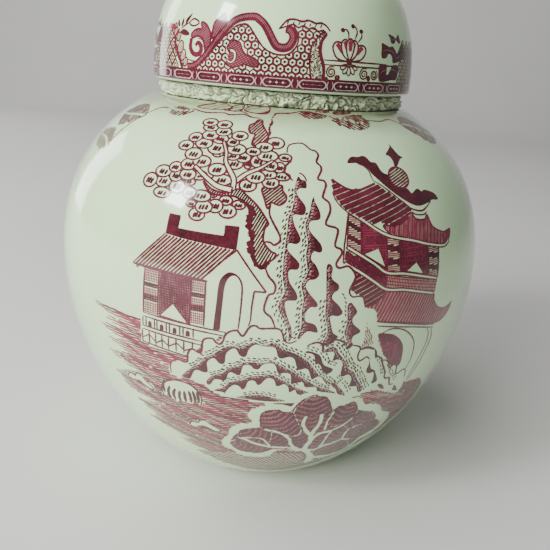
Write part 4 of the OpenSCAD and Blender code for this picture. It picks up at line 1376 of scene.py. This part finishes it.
def draw_border(sheet, off):
    """One repeat of the border: lattice, leaves, scroll over a honeycomb, shell, and a lotus panel."""
    sheet.piece("print_lid_border")
    sheet.turn = off
    sheet.front = []
    scroll_line = [(-30, 4.6), (-27, 5.2), (-23, 8.4), (-19, 13.4), (-14.6, 17.8), (-9.6, 19), (-7.4, 18.2),
                   (-5.4, 16.4), (-2.6, 12.2), (-1, 11.4), (0.8, 11.6), (2, 12.8), (2.4, 14.6), (1.6, 16),
                   (0.4, 16.4)]
    scroll = band_shape(scroll_line, (1.5, 1.9))
    sheet.motif(scroll, 0.42, (60, 0.5, 0.1, LINE), ground=PALE, hides=False)
    sheet.stroke(beside(smooth(scroll_line), -0.55), 0.6, LINE, rounded=False)
    sheet.clear(scroll)
    upright = loop([(-21.4, 12.4), (-21.6, 16), (-20.8, 17.6), (-19.6, 18.4), (-18.6, 19.6), (-17.4, 17),
                    (-18.4, 15.4)])
    sheet.motif(upright, 0.45, (60, 0.6, 0.14), ground=PALE)
    hook = loop([(-29.6, 13.2), (-28.6, 14.4), (-27, 15), (-25.6, 15), (-26.2, 16.8), (-24.4, 16.4),
                 (-22.8, 14.8), (-22, 12.6), (-22.6, 8), (-23.8, 9.6), (-24.8, 12.2), (-27, 13),
                 (-28.6, 12.4)])
    sheet.motif(hook, 0.45, (40, 0.6, 0.2), ground=PALE)
    sheet.stroke([(-29.3, 12.4), (-29.4, 10), (-28.4, 8.5), (-27, 8), (-25.6, 8.4), (-25.1, 9.6),
                  (-25.6, 10.8), (-26.6, 11.2), (-27.4, 10.4)], 1.35, ends=(0.8, 0.7))
    sheet.stroke([(-26.6, 12.4), (-25, 12), (-23.8, 10.4), (-24, 8.4), (-25.2, 6.8), (-27, 6.1),
                  (-30.4, 6.6)], 0.34)
    stem = smooth([(-37, 12.8), (-36.4, 10), (-35, 8), (-33.6, 6), (-32.4, 4)], step=0.4)
    sheet.stroke(stem, 1.0, rounded=False, ends=(0.7, 1))
    sheet.stroke([(-37, 12.8), (-36, 14), (-35.2, 14.8)], 0.7)
    for u, v, r in ((-37, 14, 1.2), (-35.2, 12.6, 1.3), (-33.8, 9.8, 1.8), (-32.4, 7.6, 1.6),
                    (-31.2, 5.8, 1.3)):
        bead = oval_shape(u, v, r * 0.72, r, -20, 18)
        sheet.outline(bead, 0.34)
        sheet.hatch(bead + (0.2, -0.2), 60, 0.6, 0.16, MID)
        sheet.clear(bead)
    for shape in (
        [(-34.8, 14), (-33.4, 14.8), (-31.4, 14.3), (-30.3, 13.2), (-33, 13)],
        [(-33, 16.2), (-32.8, 17.6), (-31.6, 18.6), (-30.4, 19.2), (-31.8, 16.8)],
        [(-34.8, 15.4), (-34.8, 17), (-34, 18), (-33.8, 16)],
        [(-36.8, 16), (-36.6, 17.6), (-35.2, 15.4)],
    ):
        sheet.patch(loop(shape, 0.3))
    sheet.outline(loop([(-31, 16.6), (-29.8, 17.6), (-28.4, 17.5), (-27, 16.6), (-28.4, 15.8),
                        (-30, 15.8)]), 0.4)
    sheet.stroke([(-34.6, 14.8), (-33, 15.8), (-31, 16.6)], 0.4)
    pink = loop([(-41.4, 15.4), (-40, 16.4), (-38.4, 16.1), (-36.8, 15.1), (-38.6, 14.4)])
    sheet.hatch(pink, 20, 0.4, 0.3, MID)
    for row in range(6):
        for k in range(5):
            u = -50 + k * 3.5 + (1.75 if row % 2 else 0)
            v = 4.6 + row * 2.0
            if u < -33.4 - (v - 4) * 0.36:
                sheet.outline([(u, v + 1.9), (u - 1.6, v), (u, v - 1.7), (u + 1.6, v)], 0.42)
                sheet.outline([(u, v + 0.8), (u - 0.7, v), (u, v - 0.7), (u + 0.7, v)], 0.3)
    shell = smooth([(-1.8, 16.2), (0.4, 18.6), (2.6, 19), (4.6, 18.6), (6.6, 19), (8.6, 18.4), (10.4, 18.6),
                    (12, 17.8), (13, 16.6)])
    sheet.stroke(shell, 0.5, rounded=False)
    inner = [(-1.8, 16.2), (2, 17.6), (3.6, 16.9), (5, 17.5), (6.6, 16.8), (8, 17.2), (9.4, 16.4),
             (10.8, 16.8), (12, 16)]
    sheet.stroke(inner, 0.4)
    for k in range(7):
        u = 0.6 + k * 1.6
        sheet.stroke([(u - 0.2, 17.6 - k * 0.06), (u + 0.2, 18.5 - k * 0.05)], 0.3, rounded=False)
    sheet.clear(np.concatenate([shell, smooth(inner)[::-1]]))
    column = loop([(8.2, 4), (7.4, 8), (7.4, 11), (8, 13), (10.6, 16), (12, 15.8), (10.8, 14), (10.3, 12),
                   (11.8, 6), (11.6, 3.6), (10, 3)])
    sheet.dots(column, 620, 0.3, LINE)
    sheet.outline(column, 0.4)
    sheet.stroke([(12, 15.8), (10.6, 14), (10.2, 12), (10.5, 10), (11.3, 8), (11.7, 6), (11.5, 3.4)], 0.85)
    sheet.clear(column)
    under_edge = [(-14.6, 16), (-12.4, 16.8), (-10.4, 16.4), (-7, 12.4), (-5, 10.6), (-2, 9.6), (1, 9.8),
                  (3, 11.4), (3.8, 13.4)]
    scroll_top = smooth(scroll_line)[28:]
    white_band = np.concatenate([scroll_top, smooth(under_edge + [(3.6, 15.4), (2.2, 17)])[::-1]])
    sheet.stroke([(-17, 13.4)] + under_edge + [(3.6, 15.4), (2.6, 16.8)], 0.42)
    sheet.clear(white_band)
    acanthus = loop([(-16.6, 6.4), (-15.4, 8.6), (-16.4, 10.6), (-14.6, 12.4), (-12.6, 12), (-11.6, 10),
                     (-10, 8.6), (-8, 8.2), (-6.6, 6.6), (-8.4, 5.8), (-11, 6.4), (-13, 5.6), (-15, 5.4)])
    curl = band_shape([(-16.4, 7.4), (-15, 6.6), (-13.9, 7.6), (-14, 9.4), (-15.4, 9.9)], (0.5, 0.9))
    sheet.motif(curl, 0.2)
    sheet.motif(acanthus, 0.3, (30, 0.55, 0.16), (-50, 0.8, 0.08), ground=PALE)
    ground = np.array([(-28, 3.6), (8, 3.6), (7.4, 8), (7.4, 11), (8, 13), (10, 15.4), (11.6, 16.2),
                       (6, 17.2), (2.4, 17.4), (3.6, 15)] + under_edge[::-1] + [(-17.6, 13.2), (-22.4, 8),
                       (-28, 4.2)])
    pitch_u, pitch_v = 2.15, 1.86
    for row in range(8):
        for k in range(20):
            u = -27.5 + k * pitch_u + (pitch_u / 2 if row % 2 else 0)
            v = 4.1 + row * pitch_v
            if not sheet.shown(np.array([[u, v]]), ground)[0]:
                continue
            cell = oval_shape(u, v, 1.14, 1.14, 30, 6)
            sheet.outline(cell + rng.uniform(-0.06, 0.06, (6, 2)), 0.34)
            sheet.patch(oval_shape(u, v, 0.44, 0.4, 0, 8))
    sheet.outline(ground, 0.3)

    # lotus panel
    for v in (9.1, 7.9):
        sheet.stroke([(11.4, v), (34, v)], 0.34, rounded=False)
    lotus = [
        [(19.4, 9.3), (15.6, 9.7), (14, 12.1), (14.4, 13.7), (15.8, 14.1), (17.2, 13.3), (18.6, 11.3)],
        [(19.4, 9.3), (23, 9.7), (24.8, 11.5), (24.8, 13.1), (23.4, 13.7), (21.8, 13.1), (20.4, 11.3)],
        [(19.4, 9.5), (17.2, 10.9), (16.6, 13.7), (17.6, 14.9), (18.8, 14.5), (19.3, 12.3)],
        [(19.5, 9.5), (21.4, 10.7), (22.2, 13.1), (21.6, 14.5), (20.4, 14.7), (19.6, 12.7)],
    ]
    centre = loop([(19.4, 9.5), (18.3, 11.9), (18.4, 14.3), (19.6, 15.2), (20.7, 14.1), (20.6, 11.9)], 0.3)
    for petal in [centre] + [loop(p, 0.3) for p in reversed(lotus)]:
        sheet.outline(petal, 0.4)
        peak = petal[petal[:, 1].argmax()]
        base = petal[petal[:, 1].argmin()]
        for share in (-0.6, -0.3, 0, 0.3, 0.6):
            tip = peak + (share, -0.3 - abs(share) * 0.8)
            sheet.stroke([tip, tip + (base - tip) * 0.55], 0.34, MID, (1, 0.1), rounded=False, within=petal)
        sheet.clear(petal)
    sheet.patch(oval_shape(19.4, 9.0, 1.0, 0.9, 0, 16))
    for u, v in ((16.6, 7.1), (17.6, 5.8), (19.4, 5.3), (21.2, 5.8), (22.2, 7.1)):
        way = np.array([u - 19.4, v - 8.5])
        side = np.array([-way[1], way[0]]) * 0.2
        petal = loop([(19.4, 8.5) + way * 0.2, (19.4, 8.5) + way * 0.7 + side, (19.4, 8.5) + way,
                      (19.4, 8.5) + way * 0.7 - side], 0.3)
        sheet.motif(petal, 0.3)
    for points, (u, v) in (
        ([(18.8, 15.2), (18.9, 16.5), (18.2, 17.5), (17.4, 17.5)], (17, 17.3)),
        ([(21, 15.1), (21.8, 16.9), (21.4, 18.3), (20.8, 18.6)], (20.4, 18.6)),
        ([(22.2, 14.5), (23.4, 15.9), (23.4, 16.9)], (23.3, 17.4)),
    ):
        sheet.stroke(points, 0.36)
        sheet.patch(oval_shape(u, v, 0.75, 0.65, 0, 12))
    for u, v, r, turn in ((13.9, 6.0, 1.6, 1), (15.8, 4.7, 0.8, -1), (24.8, 6.0, 1.7, 1),
                          (28.7, 6.0, 1.5, -1), (26.7, 4.9, 0.7, 1), (12.6, 3.9, 0.7, 1)):
        t = np.linspace(0, 4.2 * math.pi, 40)
        rad = r * (1 - t / t[-1] * 0.85)
        sheet.stroke(np.stack([u + rad * np.cos(turn * t + 1), v + rad * np.sin(turn * t + 1)], 1), 0.36,
                     rounded=False, step=0.25)

    # the leaf group that closes the panel, and leads to the next lattice
    curl = loop([(34.2, 8.3), (36.8, 8.5), (36, 7.4), (35.2, 6.4), (34.1, 6.3), (34.6, 7.4)], 0.3)
    sheet.clear(curl)
    for vein in ([(32, 12.8), (34.4, 13.2), (37, 12.8), (39.4, 11.2), (42, 12), (44.6, 13)],
                 [(35.6, 17), (37.4, 16.2), (39.4, 16.8)],
                 [(31.4, 6.4), (33, 7.4), (37.6, 7.8), (39.6, 7.4)]):
        sheet.stroke(vein, 0.2, PALE, (0.4, 0.4))
    for shape in (
        [(31.7, 15), (35.4, 14.1), (37, 14.4), (38.6, 13.5), (39.8, 12.4), (41.8, 14.6), (43.4, 15.6),
         (44.4, 14.6), (46, 13.2), (45, 11), (43, 10.8), (41, 10.2), (37.4, 9.7), (37, 11), (36, 12.1),
         (34.6, 12), (34, 11), (31.8, 10.8), (31.4, 12.4), (31.6, 13.6)],
        [(34.8, 17.7), (38.4, 17), (39.6, 16), (41, 15.4), (42.4, 15.6), (41.6, 16.8), (41.1, 18),
         (39.8, 17.2), (38.6, 15.6), (37.4, 15), (36.2, 15.4), (35.8, 16.6)],
        [(30.7, 8.8), (33, 9), (36.8, 9), (40, 9.2), (41, 7.4), (40, 5), (37, 4.8), (33, 4.2), (31, 4.6),
         (30.6, 6.6)],
    ):
        leaf = loop(shape, 0.4)
        sheet.patch(leaf)
        sheet.clear(leaf)


def draw_lid_top(sheet):
    """Scattered sprigs high on the dome, and a small rosette at its middle."""
    sheet.piece("print_lid_top")
    top_v = sheet.skin.v[-1]
    for k in range(LID_REPEATS):
        sheet.turn = (k + 0.14) * 2 * math.pi * lid_r / LID_REPEATS
        sheet.front = []
        sheet.stroke([(-16, 45), (-10, 47.6), (-2, 47), (6, 49), (14, 47.4)], 0.5)
        for u, v, tilt in ((-16, 47, 120), (-11, 44.6, 240), (-6, 50, 70), (-1, 44.4, 280), (5, 51, 80),
                           (11, 45.4, 300), (15, 50, 50)):
            c, s = cos_sin(tilt)
            leaf = loop([(u, v), (u + 2 * c - 1.6 * s, v + 2 * s + 1.2 * c), (u + 5.4 * c, v + 4.2 * s),
                         (u + 2.4 * c + 1.6 * s, v + 2 * s - 1.2 * c)])
            sheet.motif(leaf, 0.4, (tilt + 30, 0.6, 0.36), hides=False)
    sheet.turn = 0.0
    for k in range(8):
        mid = (k + 0.5) / 8 * 2 * math.pi * lid_r
        petal = smooth([(mid - 13, top_v - 3), (mid - 10, top_v - 7), (mid, top_v - 9.4),
                        (mid + 10, top_v - 7), (mid + 13, top_v - 3)], step=1.5)
        sheet.stroke(petal, 0.5, rounded=False)


def print_lid():
    """The rim band, the border in its repeats, and the sprigs on top."""
    sheet = Sheet(lid_skin, "lid", "lid_glaze")
    draw_rim_band(sheet)
    for k in range(LID_REPEATS):
        draw_border(sheet, k * 2 * math.pi * lid_r / LID_REPEATS)
    draw_lid_top(sheet)
    sheet.lay()


print_lid()


# ---------------------------------------------------------------- floor, light and camera
def make_stage():
    """A pale floor that bends up into a wall far behind the jar."""
    mat, nodes, links, p = shader("pale_floor")
    where = place_in_object(nodes)
    links.new(ramp(nodes, links, noise_at(nodes, links, where, 3.0),
                   [(0.3, (0.62, 0.61, 0.59)), (0.7, (0.66, 0.65, 0.63))]), p.inputs["Base Color"])
    p.inputs["Roughness"].default_value = 0.6
    back_y, bend, half = 1.1, 0.5, 3.0
    line = [(-2.4, 0.0), (back_y, 0.0)]
    steps = 12
    for k in range(1, steps + 1):
        t = k / steps * math.pi / 2
        line.append((back_y + bend * math.sin(t), bend * (1 - math.cos(t))))
    line.append((back_y + bend, 2.2))
    gap = 0.00005
    pts = [(x / MM, y / MM, (z - gap) / MM) for y, z in line for x in (-half, half)]
    faces = [(2 * i, 2 * i + 1, 2 * i + 3, 2 * i + 2) for i in range(len(line) - 1)]
    new_object("floor", pts, faces, [mat])


def soft_light(name, place, target, width, height, power, colour=(1, 1, 1), mirrored=True):
    data = bpy.data.lights.new(name, "AREA")
    data.shape = "RECTANGLE"
    data.size = width
    data.size_y = height
    data.energy = power
    data.color = colour
    obj = bpy.data.objects.new(name, data)
    obj.location = place
    obj.rotation_euler = (Vector(target) - Vector(place)).to_track_quat("-Z", "Y").to_euler()
    obj.visible_glossy = mirrored
    bpy.context.scene.collection.objects.link(obj)


def make_lights():
    """A window up on the left gives the highlights; broad soft lamps fill in, weaker towards the right."""
    world = bpy.data.worlds.new("studio")
    world.use_nodes = True
    world.node_tree.nodes["Background"].inputs["Color"].default_value = (0.93, 0.96, 1.0, 1)
    world.node_tree.nodes["Background"].inputs["Strength"].default_value = 0.18
    bpy.context.scene.world = world
    soft_light("window", (-0.79, -0.50, 0.76), (0, 0, 0.09), 0.22, 0.26, 6, (0.96, 0.98, 1.0))
    soft_light("front", (-1.15, -1.0, 0.65), (0, 0, 0.09), 1.1, 1.0, 38, (1.0, 1.0, 0.97), False)
    soft_light("overhead", (-0.7, -0.1, 1.4), (0, 0, 0.1), 1.3, 1.3, 16, (1, 1, 1), False)
    soft_light("side", (-1.1, 0.75, 0.32), (0, 0, 0.1), 0.35, 0.8, 3.5)


def make_camera():
    """A phone camera in front of the jar and above it, looking down and tilted a little."""
    distance, height = 213.4, 141.1
    pitch, yaw, roll = math.radians(20.51), math.radians(0.74), math.radians(4.3)
    ahead = Vector((math.sin(yaw) * math.cos(pitch), math.cos(yaw) * math.cos(pitch), -math.sin(pitch)))
    right = Vector((math.cos(yaw), -math.sin(yaw), 0))
    up = right.cross(ahead)
    side = math.cos(roll) * right + math.sin(roll) * up
    top = -math.sin(roll) * right + math.cos(roll) * up
    data = bpy.data.cameras.new("camera")
    data.sensor_width = 36
    data.lens = 37.76727
    data.clip_start = 0.01
    obj = bpy.data.objects.new("camera", data)
    obj.matrix_world = Matrix((
        (side.x, top.x, -ahead.x, 0),
        (side.y, top.y, -ahead.y, -distance * MM),
        (side.z, top.z, -ahead.z, height * MM),
        (0, 0, 0, 1),
    ))
    bpy.context.scene.collection.objects.link(obj)
    bpy.context.scene.camera = obj


make_stage()
make_lights()
make_camera()
